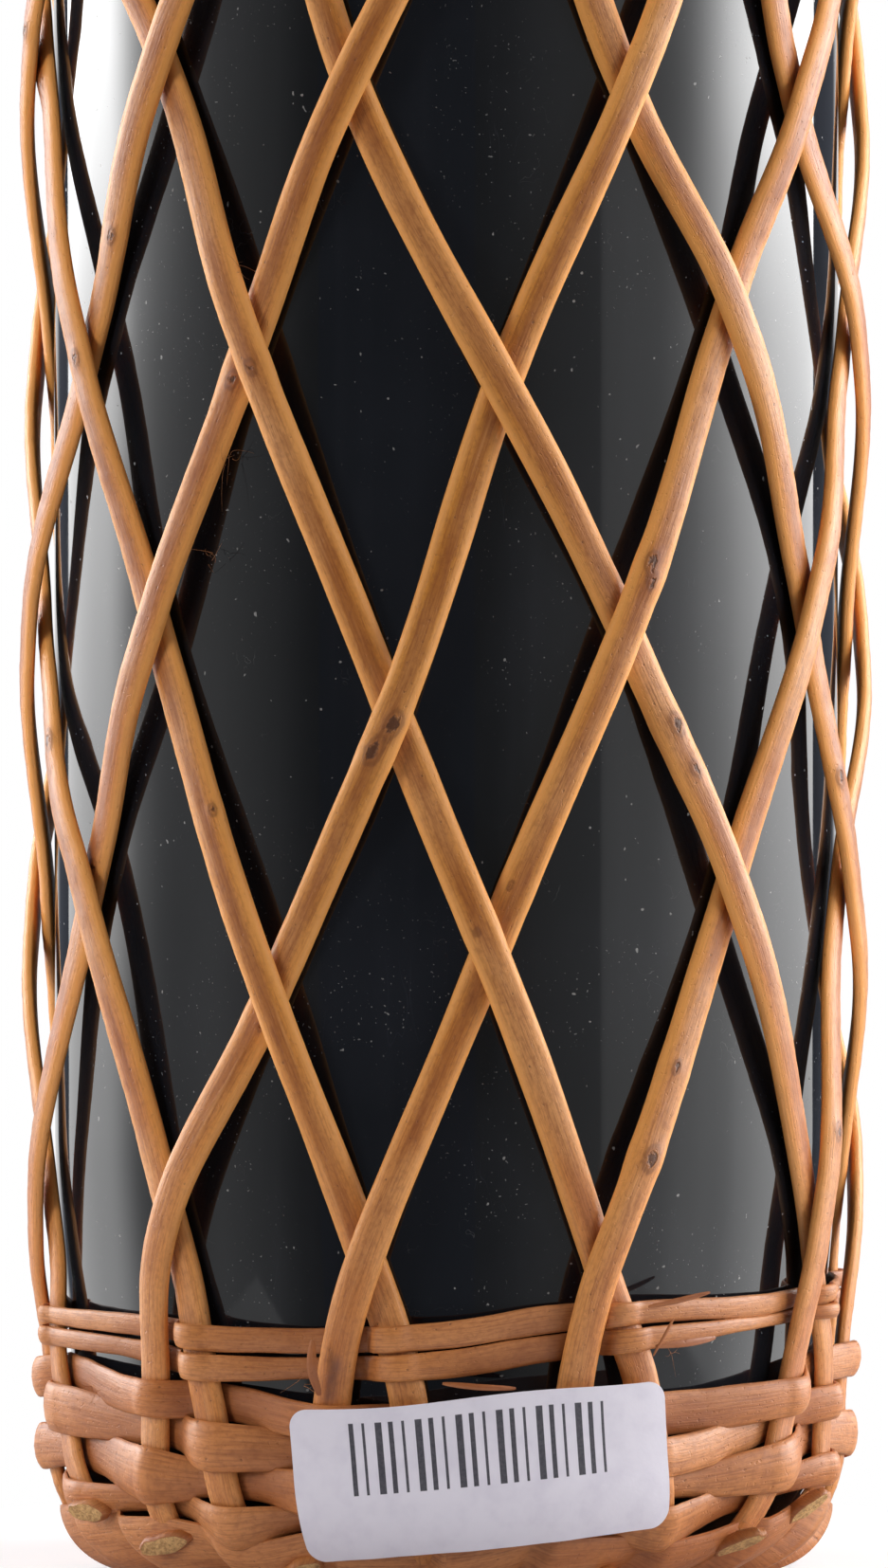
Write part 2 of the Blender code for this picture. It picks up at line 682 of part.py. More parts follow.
def make_base_sticks(material, collection):
    """Sticks crossed under the punt, stacked at the middle and level under the rounds."""
    low = FLOOR_GAP + ROUND_THICKNESS + CLEARANCE + STICK_RADIUS
    reach = BORDER_INNER_RADIUS - CLEARANCE
    storey = 2.0 * STICK_RADIUS + CLEARANCE
    shares = (-1.0, -0.7, -0.4, -0.2, 0.0, 0.2, 0.4, 0.7, 1.0)
    for stick in range(STICK_COUNT):
        curve = bpy.data.curves.new(f"base_stick_{stick + 1}", "CURVE")
        curve.dimensions = "3D"
        curve.bevel_depth = STICK_RADIUS
        curve.bevel_resolution = STICK_SIDES_RESOLUTION
        curve.use_fill_caps = True
        spline = curve.splines.new("POLY")
        spline.points.add(len(shares) - 1)
        for point, share in zip(spline.points, shares):
            distance = reach * share
            lift = stick * storey * (1.0 - smooth_step(abs(distance) / SLATH_RADIUS))
            point.co = (distance, 0.0, lift, 1.0)
        curve.materials.append(material)
        made = bpy.data.objects.new(curve.name, curve)
        made.location = (0.0, 0.0, low)
        made.rotation_euler = (0.0, 0.0, math.pi * (stick + 0.5) / STICK_COUNT)
        collection.objects.link(made)


def make_base_rounds(material, collection):
    """Flat rounds woven over and under the arms of the crossed sticks."""
    below = FLOOR_GAP
    above = below + ROUND_THICKNESS + 2.0 * (CLEARANCE + STICK_RADIUS)
    arms = 2 * STICK_COUNT
    arm_turn = FULL_TURN / arms
    for index in range(ROUND_COUNT):
        outer = ROUND_OUTER_RADIUS - ROUND_PITCH * index
        inner = outer - ROUND_WIDTH
        half = math.degrees((STICK_RADIUS + CLEARANCE) / inner)
        gap = math.degrees(SPLIT_END_GAP / inner)
        stops = []
        for arm in range(arms):
            turn = arm_turn * (arm + 0.5)
            height = below if (arm + index) % 2 == 0 else above
            stops += [(turn - half, height), (turn + half, height)]
        turn, height = stops[0]
        stops = [(turn + half + gap, height)] + stops[1:]
        stops += [(turn + FULL_TURN, height), (turn + half + FULL_TURN - gap, height)]
        rings = [
            [
                round_axis(inner, height, turn),
                round_axis(inner, height + ROUND_THICKNESS, turn),
                round_axis(outer, height + ROUND_THICKNESS, turn),
                round_axis(outer, height, turn),
            ]
            for turn, height in stops
        ]
        loft_object(f"base_round_{index + 1}", rings, material, collection)


def make_sticker(material, collection):
    """Paper sticker bent round the base weave, its corners rounded."""
    level = FRONT_LEVEL + SPLIT_THICKNESS + CLEARANCE
    radius = side_radius(STICKER_STATION, level)
    tilt = math.radians(STICKER_TILT)
    half_width = STICKER_WIDTH / 2.0
    half_height = STICKER_HEIGHT / 2.0
    corner = [STICKER_CORNER * share for share in STICKER_CORNER_SHARES]
    straight = STICKER_WIDTH - 2.0 * STICKER_CORNER
    places = [place - half_width for place in corner]
    places += [
        STICKER_CORNER - half_width + straight * (step + 1) / STICKER_COLUMNS
        for step in range(STICKER_COLUMNS - 1)
    ]
    places += [half_width - place for place in reversed(corner)]
    rings = []
    for place in places:
        inset = max(STICKER_CORNER - (half_width - abs(place)), 0.0)
        drop = STICKER_CORNER - math.sqrt(max(STICKER_CORNER**2 - inset**2, 0.0))
        reach = half_height - drop
        heights = [reach * share for share in STICKER_ROW_SHARES]
        ring = []
        for depth, order in ((0.0, heights), (STICKER_THICKNESS, reversed(heights))):
            for height in order:
                along = place * math.cos(tilt) - height * math.sin(tilt)
                up = place * math.sin(tilt) + height * math.cos(tilt)
                turn = STICKER_TURN + math.degrees(along / radius)
                ring.append(side_point(turn, STICKER_STATION + up, level + depth))
        rings.append(ring)
    loft_object("price_sticker", rings, material, collection)


def make_stopper(cork, plastic, collection):
    """Capped cork, parented to an empty on its sliding axis at the mouth."""
    axis = bpy.data.objects.new("stopper_axis", None)
    axis.location = (0.0, 0.0, MOUTH_HEIGHT)
    collection.objects.link(axis)
    shank_profile = [
        (0.0, CLEARANCE),
        (CORK_RADIUS, CLEARANCE),
        (CORK_RADIUS, CORK_CHAMFER - CORK_LENGTH),
        (CORK_RADIUS - CORK_CHAMFER, -CORK_LENGTH),
        (0.0, -CORK_LENGTH),
    ]
    low = 2.0 * CLEARANCE
    cap_profile = [
        (0.0, low + CAP_HEIGHT),
        (CAP_RADIUS - CAP_CHAMFER, low + CAP_HEIGHT),
        (CAP_RADIUS, low + CAP_HEIGHT - CAP_CHAMFER),
        (CAP_RADIUS, low),
        (0.0, low),
    ]
    shank = turned_object("stopper_shank", shank_profile, STOPPER_STEPS, cork, collection)
    cap = turned_object("stopper_cap", cap_profile, STOPPER_STEPS, plastic, collection)
    shank.parent = axis
    cap.parent = axis


def main():
    clear_scene()
    collection = bpy.data.collections.new("wicker_bottle")
    bpy.context.scene.collection.children.link(collection)
    glass = make_material("dark_glass", (0.006, 0.009, 0.010), 0.05)
    willow = make_material("willow_stake", (0.52, 0.27, 0.12), 0.55)
    split = make_material("willow_split", (0.47, 0.20, 0.09), 0.55)
    paper = make_material("sticker_paper", (0.80, 0.78, 0.86), 0.7)
    cork = make_material("cork", (0.55, 0.36, 0.20), 0.85)
    plastic = make_material("cap_plastic", (0.02, 0.02, 0.02), 0.4)
    turned_object("glass_bottle", glass_profile(), GLASS_STEPS, glass, collection)
    stakes = [
        Stake(family, column)
        for family in ("right", "left")
        for column in range(STAKE_COLUMNS)
    ]
    for stake in stakes:
        rings = [stake.ring(station) for station in stake.ring_stations()]
        name = f"{stake.family}_stake_{stake.column + 1:02d}"
        loft_object(name, rings, willow, collection)
    make_base_weavers(stakes, split, collection)
    make_bands(stakes, split, collection)
    make_collar(stakes, split, collection)
    make_border(stakes, split, collection)
    make_base_sticks(willow, collection)
    make_base_rounds(split, collection)
    make_sticker(paper, collection)
    make_stopper(cork, plastic, collection)


main()
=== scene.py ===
"""Looks of a wicker-covered wine bottle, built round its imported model.

Near-black glass stands in a jacket of split willow: leaning stakes woven over and under each
other, two narrow binding splits, a woven base and collar, a paper sticker with plain bars and a
capped cork.

Metres, +Z up, origin on the bottle's axis at the surface it stands on. A turn is an angle in
degrees round the axis from the front, -Y, positive towards +X. A station is a distance up the
side of the glass, equal to the height on the straight body. A level is a distance out from the
glass.
"""

import logging
import math
from dataclasses import dataclass, field
from enum import Enum
from typing import Any, Callable, Optional, Sequence

import bpy
import numpy as np
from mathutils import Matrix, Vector


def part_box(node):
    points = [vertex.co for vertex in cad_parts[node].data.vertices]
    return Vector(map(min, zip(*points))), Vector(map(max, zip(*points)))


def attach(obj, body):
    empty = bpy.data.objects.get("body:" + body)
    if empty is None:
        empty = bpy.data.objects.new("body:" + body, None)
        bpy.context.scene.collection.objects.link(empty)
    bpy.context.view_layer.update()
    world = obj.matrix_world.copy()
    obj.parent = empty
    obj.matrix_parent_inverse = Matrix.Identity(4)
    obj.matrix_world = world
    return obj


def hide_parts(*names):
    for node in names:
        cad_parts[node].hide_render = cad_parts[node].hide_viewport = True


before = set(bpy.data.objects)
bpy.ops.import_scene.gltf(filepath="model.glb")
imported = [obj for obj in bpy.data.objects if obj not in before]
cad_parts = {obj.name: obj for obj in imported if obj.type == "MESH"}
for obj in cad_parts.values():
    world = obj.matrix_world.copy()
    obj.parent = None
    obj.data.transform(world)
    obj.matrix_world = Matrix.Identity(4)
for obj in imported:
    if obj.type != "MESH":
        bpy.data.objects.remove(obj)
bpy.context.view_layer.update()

log = logging.getLogger("wicker_bottle")

FULL_TURN = 360.0

Array = np.ndarray
Place = tuple[float, float, float]
Stops = Sequence[tuple[float, float]]
Tone = tuple[float, float, float, float]


class Body(Enum):
    """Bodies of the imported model."""

    BOTTLE = "bottle"
    STOPPER = "stopper"


class Slot(Enum):
    """Material slots of the record."""

    GLASS = "dark_glass"
    STAKE = "willow_stake"
    SPLIT = "willow_split"
    PAPER = "sticker_paper"
    CORK = "cork"
    PLASTIC = "cap_plastic"


class Family(Enum):
    """The two ways that stakes lean: up to the right and up to the left."""

    RIGHT = "right"
    LEFT = "left"

    @property
    def lean(self) -> float:
        """Sense of the lean, positive towards +X."""
        return 1.0 if self is Family.RIGHT else -1.0


RIGHT, LEFT = Family.RIGHT, Family.LEFT


def tone(red: float, green: float, blue: float) -> Tone:
    """Linear colour from screen values of 0 to 255.

    Args:
        red: Red, 0 to 255.
        green: Green, 0 to 255.
        blue: Blue, 0 to 255.

    Returns:
        Linear red, green, blue and 1.
    """

    def linear(value: float) -> float:
        """One channel, by the sRGB curve."""
        share = value / 255.0
        return share / 12.92 if share <= 0.04045 else ((share + 0.055) / 1.055) ** 2.4

    return (linear(red), linear(green), linear(blue), 1.0)


def grey(value: float) -> Tone:
    """Linear grey."""
    return (value, value, value, 1.0)


def smooth_step(share: Array) -> Array:
    """Smooth rise from 0 to 1, s*s*(3 - 2s), level at both ends."""
    share = np.clip(share, 0.0, 1.0)
    return share * share * (3.0 - 2.0 * share)


def rise(at: Array, start: float, run: float) -> Array:
    """Smooth rise from 0 at the start to 1 at the end of a run."""
    return smooth_step((at - start) / run)


def hermite(places: Array, values: Array, slopes: Array, at: Array) -> Array:
    """Cubic between stops with given slopes there.

    Args:
        places: Rising places of the stops.
        values: Value at each stop.
        slopes: Slope at each stop.
        at: Places to read, held at the first and last stop outside them.

    Returns:
        h00*y0 + h10*dx*m0 + h01*y1 + h11*dx*m1 on each run, with the usual cubic weights.
    """
    at = np.clip(at, places[0], places[-1])
    near = np.clip(np.searchsorted(places, at, side="right") - 1, 0, len(places) - 2)
    run = places[near + 1] - places[near]
    share = (at - places[near]) / run
    square, cube = share**2, share**3
    return (
        (2.0 * cube - 3.0 * square + 1.0) * values[near]
        + (cube - 2.0 * square + share) * run * slopes[near]
        + (3.0 * square - 2.0 * cube) * values[near + 1]
        + (cube - square) * run * slopes[near + 1]
    )


def curve_through(stops: Stops, at: Array) -> Array:
    """Smooth curve through (place, value) stops, each slope that of its two neighbours.

    Args:
        stops: (place, value) pairs in order of place.
        at: Places to read the curve at.

    Returns:
        Value at each place.
    """
    places, values = np.array(stops, float).T
    order = np.arange(len(places))
    near, far = np.maximum(order - 1, 0), np.minimum(order + 1, len(places) - 1)
    slopes = (values[far] - values[near]) / (places[far] - places[near])
    return hermite(places, values, slopes, at)


def steady_through(stops: Stops, at: Array) -> Array:
    """Smooth curve through (place, value) stops that never overshoots them.

    The slope at a stop is the harmonic mean of the runs beside it, and zero at a peak, a hollow
    or a level run.

    Args:
        stops: (place, value) pairs in order of place.
        at: Places to read the curve at.

    Returns:
        Value at each place.
    """
    places, values = np.array(stops, float).T
    rises = np.diff(values) / np.diff(places)
    before, after = rises[:-1], rises[1:]
    same = before * after > 0.0
    total = np.where(same, before + after, 1.0)
    inner = np.where(same, 2.0 * before * after / total, 0.0)
    return hermite(places, values, np.concatenate([[0.0], inner, [0.0]]), at)


def around(stops: Stops, turn: Array) -> Array:
    """Smooth curve through (turn, value) stops that closes round the bottle.

    Args:
        stops: (turn, value) pairs in order of turn, within one turn.
        turn: Turns to read the curve at.

    Returns:
        Value at each turn.
    """
    first = stops[0][0]
    closed = [*stops, (first + FULL_TURN, stops[0][1])]
    return curve_through(closed, (np.asarray(turn, float) - first) % FULL_TURN + first)


def nearest(turn: Array) -> Array:
    """The same turn counted from -180 to 180."""
    return (turn + FULL_TURN / 2.0) % FULL_TURN - FULL_TURN / 2.0


def wave(at: Array, pitch: float, seed: float) -> Array:
    """Uneven wave from -1 to 1: three sines whose pitches don't repeat together.

    Args:
        at: Places to read the wave at.
        pitch: Length of its longest sine.
        seed: Number that shifts the three sines.

    Returns:
        Height of the wave at each place.
    """
    angle = at * (2.0 * math.pi / pitch)
    return (
        np.sin(angle + seed)
        + 0.6 * np.sin(2.17 * angle + 2.3 * seed)
        + 0.4 * np.sin(4.31 * angle + 4.1 * seed)
    ) / 2.0


def about_axis(radius: Array, angle: Array, height: Array) -> Array:
    """Points (r sin a, -r cos a, z), with the angle in radians from the front."""
    parts = (radius * np.sin(angle), -radius * np.cos(angle), height)
    return np.stack(np.broadcast_arrays(*parts), axis=-1)


def corners(grid: Array) -> Array:
    """What the four corners of each cell of a grid hold, going round the cell."""
    return np.stack([grid[:-1, :-1], grid[:-1, 1:], grid[1:, 1:], grid[1:, :-1]], axis=2)


@dataclass(frozen=True)
class GlassSide:
    """Outside of the glass from the heel to the neck, and places set out on it."""

    body_radius: float = 0.0380
    base_draw_in: float = 0.0019
    heel_radius: float = 0.0086
    taper_rise: float = 0.0310
    shoulder_height: float = 0.1820
    shoulder_round: float = 0.0320
    neck_round: float = 0.0260
    neck_radius: float = 0.0142
    base_depth: float = 0.0032
    unroll_level: float = 0.0031

    @property
    def base_radius(self) -> float:
        """Radius of the glass above the heel."""
        return self.body_radius - self.base_draw_in

    @property
    def heel_height(self) -> float:
        """Height at which the heel's arc ends."""
        return self.base_depth + self.heel_radius

    @property
    def heel_centre_radius(self) -> float:
        """Distance of the heel's arc centre from the axis."""
        return self.base_radius - self.heel_radius

    @property
    def heel_unroll(self) -> float:
        """Station run for each radian round the heel."""
        return self.heel_radius + self.unroll_level

    @property
    def meeting_angle(self) -> float:
        """Angle at which the shoulder's two arcs meet."""
        run = self.neck_radius + self.neck_round - (self.body_radius - self.shoulder_round)
        return math.acos(run / (self.shoulder_round + self.neck_round))

    @property
    def shoulder_end(self) -> float:
        """Station at which the shoulder's arc gives way to the neck's."""
        return self.shoulder_height + self.shoulder_round * self.meeting_angle

    @property
    def neck_station(self) -> float:
        """Station at which the straight neck starts."""
        return self.shoulder_end + self.neck_round * self.meeting_angle

    @property
    def neck_start_height(self) -> float:
        """Height at which the straight neck starts."""
        climb = (self.shoulder_round + self.neck_round) * math.sin(self.meeting_angle)
        return self.shoulder_height + climb

    def body(self, height: Array) -> Array:
        """Radius between heel and shoulder, easing from the base radius to the body's."""
        share = rise(height, self.heel_height, self.taper_rise)
        return self.base_radius + self.base_draw_in * share

    def section(self, station: Array) -> tuple[Array, Array, Array, Array]:
        """Half section of the outside: arcs at the heel, shoulder and neck, straight between.

        Args:
            station: Distances up the side.

        Returns:
            Radius, height, and the outward normal's part away from the axis and part upwards.
        """
        station = np.asarray(station, float)
        tops = (self.heel_height, self.shoulder_height, self.shoulder_end, self.neck_station)
        zones = [station < top for top in tops]
        angles = [
            (station - self.heel_height) / self.heel_unroll,
            np.zeros_like(station),
            (station - self.shoulder_height) / self.shoulder_round,
            (self.neck_station - station) / self.neck_round,
        ]
        angle = np.select(zones, angles, 0.0)
        out, up = np.cos(angle), np.sin(angle)
        radii = [
            self.heel_centre_radius + self.heel_radius * out,
            self.body(station),
            self.body_radius - self.shoulder_round + self.shoulder_round * out,
            self.neck_radius + self.neck_round - self.neck_round * out,
        ]
        heights = [
            self.heel_height + self.heel_radius * up,
            station,
            self.shoulder_height + self.shoulder_round * up,
            self.neck_start_height - self.neck_round * up,
        ]
        radius = np.select(zones, radii, self.neck_radius)
        height = np.select(zones, heights, self.neck_start_height + station - self.neck_station)
        return radius, height, out, up

    def radius_at(self, station: float, level: float) -> float:
        """Distance from the axis at a level out from the glass."""
        radius, _, out, _ = self.section(station)
        return float(radius + level * out)

    def point(self, turn: Array, station: Array, level: Array) -> Array:
        """Points at a turn, a station and a level."""
        radius, height, out, up = self.section(station)
        return about_axis(radius + level * out, np.radians(turn), height + level * up)

    def outward(self, turn: Array, station: Array) -> Array:
        """Unit normals of the glass."""
        _, _, out, up = self.section(station)
        return about_axis(out, np.radians(turn), up)


SIDE = GlassSide()


@dataclass(frozen=True)
class Stock:
    """Split willow as it is cut, and how closely its pieces lie."""

    gap: float = 0.0003
    stake_width: float = 0.00365
    stake_thickness: float = 0.00142
    stake_top_share: float = 0.78
    split_thickness: float = 0.0007

    @property
    def stake_level(self) -> float:
        """Level of a stake's flat side where a split passes behind it."""
        return self.split_thickness + 2.0 * self.gap

    @property
    def front_level(self) -> float:
        """Level of a split's back where it passes over a stake."""
        return self.stake_level + self.stake_thickness + self.gap


STOCK = Stock()


def math_node(operation: str, reflected: bool = False) -> Callable[["Signal", Any], "Signal"]:
    """Method that adds a Math node.

    Args:
        operation: Blender's name for what the node works out.
        reflected: Whether the other value comes first.

    Returns:
        A method of a signal that takes one other value.
    """

    def method(signal: "Signal", other: Any) -> "Signal":
        """Result of the node.

        Args:
            signal: Signal the operator is called on.
            other: Signal or number on its other side.

        Returns:
            Result of the node.
        """
        values = (other, signal) if reflected else (signal, other)
        inputs = dict(enumerate(values))
        return signal.bench.node("ShaderNodeMath", {"operation": operation}, inputs)

    return method


class Signal:
    """A shader socket that Python's arithmetic works on, each operation adding a Math node."""

    def __init__(self, bench: "Bench", socket: Optional[bpy.types.NodeSocket]) -> None:
        """Wrap an output socket of the bench's node tree."""
        self.bench = bench
        self.socket = socket

    __add__ = __radd__ = math_node("ADD")
    __mul__ = __rmul__ = math_node("MULTIPLY")
    __sub__, __rsub__ = math_node("SUBTRACT"), math_node("SUBTRACT", reflected=True)
    __truediv__, __pow__ = math_node("DIVIDE"), math_node("POWER")
    least, most = math_node("MINIMUM"), math_node("MAXIMUM")

    def part(self) -> "Signal":
        """What stands after the decimal point."""
        return self.bench.node("ShaderNodeMath", {"operation": "FRACT"}, {0: self})

    def thread(self, width: float) -> "Signal":
        """Thin threads where noise crosses its middle."""
        return (self - 0.5).most(0.5 - self).between(width, 0.0)

    def between(self, low: float, high: float) -> "Signal":
        """Smooth rise from 0 at low to 1 at high, or a fall where low is the larger.

        Args:
            low: Value that gives 0.
            high: Value that gives 1.

        Returns:
            The rise or fall, from 0 to 1.
        """
        if low > high:
            return 1.0 - self.between(high, low)
        settings = {"interpolation_type": "SMOOTHSTEP"}
        inputs = {"Value": self, "From Min": low, "From Max": high}
        return self.bench.node("ShaderNodeMapRange", settings, inputs, "Result")


class Bench:
    """Node tree of one material or world, and the one method that adds its nodes."""

    def __init__(self, tree: bpy.types.NodeTree) -> None:
        """Start from an empty tree."""
        self.tree = tree
        tree.nodes.clear()

    def node(
        self,
        kind: str,
        settings: Optional[dict[str, Any]] = None,
        inputs: Optional[dict[Any, Any]] = None,
        output: Any = 0,
    ) -> Signal:
        """Add a node.

        Args:
            kind: Blender's name for the node's type.
            settings: Properties, set before its sockets.
            inputs: Values or signals, by socket name or number.
            output: Name or number of the output to return.

        Returns:
            The chosen output.
        """
        made = self.tree.nodes.new(kind)
        for name, value in (settings or {}).items():
            setattr(made, name, value)
        for key, value in (inputs or {}).items():
            if isinstance(value, Signal):
                self.tree.links.new(value.socket, made.inputs[key])
            else:
                made.inputs[key].default_value = value
        return Signal(self, made.outputs[output] if made.outputs else None)

    def mix(self, share: Any, first: Any, second: Any) -> Signal:
        """Mix two colours."""
        settings = {"data_type": "RGBA", "clamp_factor": True}
        return self.node("ShaderNodeMix", settings, {0: share, 6: first, 7: second}, 2)

    def coats(self, base: Any, *coats: tuple[Any, Any]) -> Signal:
        """Lay (share, colour) coats over a base, one after another.

        Args:
            base: Colour underneath.
            coats: (share, colour) of each coat.

        Returns:
            Colour under all the coats.
        """
        for share, colour in coats:
            base = self.mix(share, base, colour)
        return base

    def stretch(self, origin: Signal, scales: Place) -> Signal:
        """Coordinates stretched along each axis."""
        return self.node("ShaderNodeVectorMath", {"operation": "MULTIPLY"}, {0: origin, 1: scales})

    def noise(self, at: Signal, scale: Any, detail: float = 2.0, rough: float = 0.5) -> Signal:
        """Noise from 0 to 1, its scale one number or one for each axis.

        Args:
            at: Place to read the noise at.
            scale: Grains in a metre, one number or one for each axis.
            detail: Number of finer layers.
            rough: Share of each finer layer.

        Returns:
            The noise.
        """
        if isinstance(scale, tuple):
            at, scale = self.stretch(at, scale), 1.0
        inputs = {"Vector": at, "Scale": scale, "Detail": detail, "Roughness": rough}
        return self.node("ShaderNodeTexNoise", None, inputs)

    def coordinates(self) -> Signal:
        """Places in the object's own metres."""
        return self.node("ShaderNodeTexCoord", None, None, "Object")

    def chart(self, name: str) -> Signal:
        """Places on one of the mesh's maps."""
        return self.node("ShaderNodeUVMap", {"uv_map": name})

    def split(self, vector: Signal, axis: str) -> Signal:
        """One part of a vector."""
        return self.node("ShaderNodeSeparateXYZ", None, {0: vector}, axis)

    def attribute(self, name: str) -> Signal:
        """Number that a piece carries at each vertex."""
        settings = {"attribute_name": name, "attribute_type": "GEOMETRY"}
        return self.node("ShaderNodeAttribute", settings, None, "Fac")

    def bump(self, height: Signal, strength: float, distance: float) -> Signal:
        """Normal bent by a height."""
        inputs = {"Strength": strength, "Distance": distance, "Height": height}
        return self.node("ShaderNodeBump", None, inputs, "Normal")

    def surface(self, inputs: dict[str, Any]) -> Signal:
        """Shader with the given sockets."""
        return self.node("ShaderNodeBsdfPrincipled", None, inputs)


class Finish:
    """A surface finish that makes its own material."""

    name: str

    def material(self) -> bpy.types.Material:
        """Make the material, or give the one already made.

        Returns:
            The material.
        """
        made = bpy.data.materials.get(self.name)
        if made is None:
            made = bpy.data.materials.new(self.name)
            made.use_nodes = True
            bench = Bench(made.node_tree)
            shader = self.shade(bench)
            bench.node("ShaderNodeOutputMaterial", None, {"Surface": shader})
        return made

    def shade(self, bench: Bench) -> Signal:
        """Build the shader."""
        raise NotImplementedError


@dataclass(frozen=True)
class WillowFinish(Finish):
    """Buff willow: smooth, faintly fibrous, with slow drifts of tint, specks, bud scars and painted
    side light.

    It reads the map "grain", metres along the piece and round it, and the numbers "hue" of the
    piece, which on a stake also holds a painted shade tint towards the front, "knot" near a bud
    scar, "worn" where it is bruised and "flank", painted light that makes a stake's
    sides paler and its middle and a split's hollows darker. A number that a piece doesn't carry is
    0.
    """

    name: str
    pale: Tone
    mid: Tone
    deep: Tone
    ochre: Tone
    # Colour of the painted highlight on a stake's sides.
    flank: Tone = tone(252, 174, 92)
    scar: Tone = tone(84, 48, 28)
    stain: Tone = tone(104, 66, 66)
    roughness: float = 0.41
    fibre_depth: float = 0.00012

    def shade(self, bench: Bench) -> Signal:
        """Colour from drifts, patches, fibres and specks, with painted highlight and shade, and the
        fibres faintly raised.

        Args:
            bench: Where the finish's nodes are made.

        Returns:
            The surface shader.
        """
        grain = bench.chart("grain")
        fibre = bench.noise(grain, (240.0, 5600.0, 1.0), 3.0, 0.6)
        strand = bench.noise(grain, (55.0, 1300.0, 1.0))
        drift = bench.noise(grain, (45.0, 130.0, 1.0))
        patch = bench.noise(grain, (300.0, 620.0, 1.0), 3.0, 0.6)
        mottle = bench.noise(grain, (1500.0, 2600.0, 1.0), 2.0, 0.6)
        speck = bench.noise(grain, (2300.0, 3000.0, 1.0), 0.0)
        hue, knot, worn, flank = map(bench.attribute, ("hue", "knot", "worn", "flank"))
        eye = (knot + 0.6 * (mottle - 0.5)).between(0.66, 0.86)
        ring = (knot + 0.2 * (mottle - 0.5)).between(0.34, 0.46) * knot.between(0.7, 0.56)
        colour = bench.coats(
            # The ochre share holds each piece's own tone and, on the stakes, a painted shade tint
            # towards the front.
            bench.mix(hue, self.mid, self.ochre),
            # Painted shade: darker middle of each stake, darker hollows of the splits, and the
            # whole of a piece that carries no side light.
            (flank.between(0.55, 0.1) * 0.62, self.deep),
            (drift.between(0.38, 0.7) * 0.7, self.pale),
            (patch.between(0.5, 0.75) * 0.38, self.deep),
            (mottle.between(0.42, 0.7) * 0.3, self.deep),
            (fibre.between(0.56, 0.3) * 0.5, self.deep),
            (strand.between(0.42, 0.24) * 0.45, self.deep),
            (strand.between(0.58, 0.78) * 0.4, self.pale),
            (speck.between(0.19, 0.13) * 0.6, self.scar),
            # Painted highlight: paler sides of each stake.
            (flank.between(0.4, 0.95) * 0.9, self.flank),
            (knot.between(0.12, 0.6) * 0.4, self.deep),
            (ring * 0.3, self.scar),
            (eye * 0.9, self.scar),
            (worn * (0.6 + 0.8 * (patch - 0.3)), self.stain),
        )
        height = fibre * 0.45 + strand * 0.6 + patch * 0.5 + mottle * 0.25
        height = height - speck.between(0.3, 0.2) * 0.4 - eye * 1.6
        return bench.surface(
            {
                "Base Color": colour,
                "Roughness": self.roughness - 0.08 * strand + 0.16 * patch,
                "Specular IOR Level": 0.6,
                "Normal": bench.bump(height, 0.8, self.fibre_depth),
            }
        )


@dataclass(frozen=True)
class CutEndFinish(Finish):
    """Sawn end of a willow stick: pale, dry and porous."""

    name: str = "willow_cut_end"
    pale: Tone = tone(228, 184, 126)
    dark: Tone = tone(146, 96, 56)

    def shade(self, bench: Bench) -> Signal:
        """Speckled pale wood.

        Args:
            bench: Where the finish's nodes are made.

        Returns:
            The surface shader.
        """
        place = bench.coordinates()
        pores = bench.noise(place, 2600.0, 3.0, 0.7)
        cloud = bench.noise(place, 700.0)
        colour = bench.coats(
            self.pale,
            (pores.between(0.6, 0.36) * 0.6, self.dark),
            (cloud.between(0.55, 0.75) * 0.5, self.dark),
        )
        normal = bench.bump(pores + 0.6 * cloud, 0.9, 0.0002)
        return bench.surface({"Base Color": colour, "Roughness": 0.85, "Normal": normal})


@dataclass(frozen=True)
class GlassFinish(Finish):
    """Near-black bottle glass with fine dust, a faint film, rubs and thin scratches."""

    name: str = "black_glass"
    glass: Tone = (0.0050, 0.0060, 0.0078, 1.0)
    dust: Tone = tone(150, 148, 146)
    film: Tone = tone(92, 92, 104)

    def shade(self, bench: Bench) -> Signal:
        """Clear gloss under dust specks, a thin film and scratches.

        Args:
            bench: Where the finish's nodes are made.

        Returns:
            The surface shader.
        """
        place = bench.coordinates()
        crowd = bench.noise(place, 70.0, 3.0, 0.6)
        fine = bench.noise(place, 4300.0, 0.0).between(0.79, 0.84) * crowd.between(0.44, 0.66)
        coarse = bench.noise(place, 1900.0, 0.0).between(0.835, 0.87)
        lint = bench.noise(place, 520.0).thread(0.0035)
        lint = lint * bench.noise(place, 170.0, 1.0).between(0.66, 0.74)
        film = bench.noise(place, 34.0, 4.0, 0.62).between(0.35, 0.8)
        streak = bench.noise(place, (260.0, 260.0, 9.0))
        scratch = bench.noise(place, (420.0, 420.0, 55.0), 1.0, 0.4).thread(0.003)
        scratch = scratch * crowd.between(0.52, 0.68)
        marks = (fine * 0.6 + coarse * 0.75 + lint * 0.35).least(1.0)
        haze = film * 0.05 + streak.between(0.5, 0.75) * 0.03 + scratch * 0.08
        return bench.surface(
            {
                "Base Color": bench.coats(self.glass, (haze, self.film), (marks, self.dust)),
                "Roughness": 0.03 + 0.05 * film + 0.5 * marks + 0.1 * scratch,
                "IOR": 1.5,
                "Normal": bench.bump(bench.noise(place, 60.0, 1.0), 0.1, 0.0004),
            }
        )


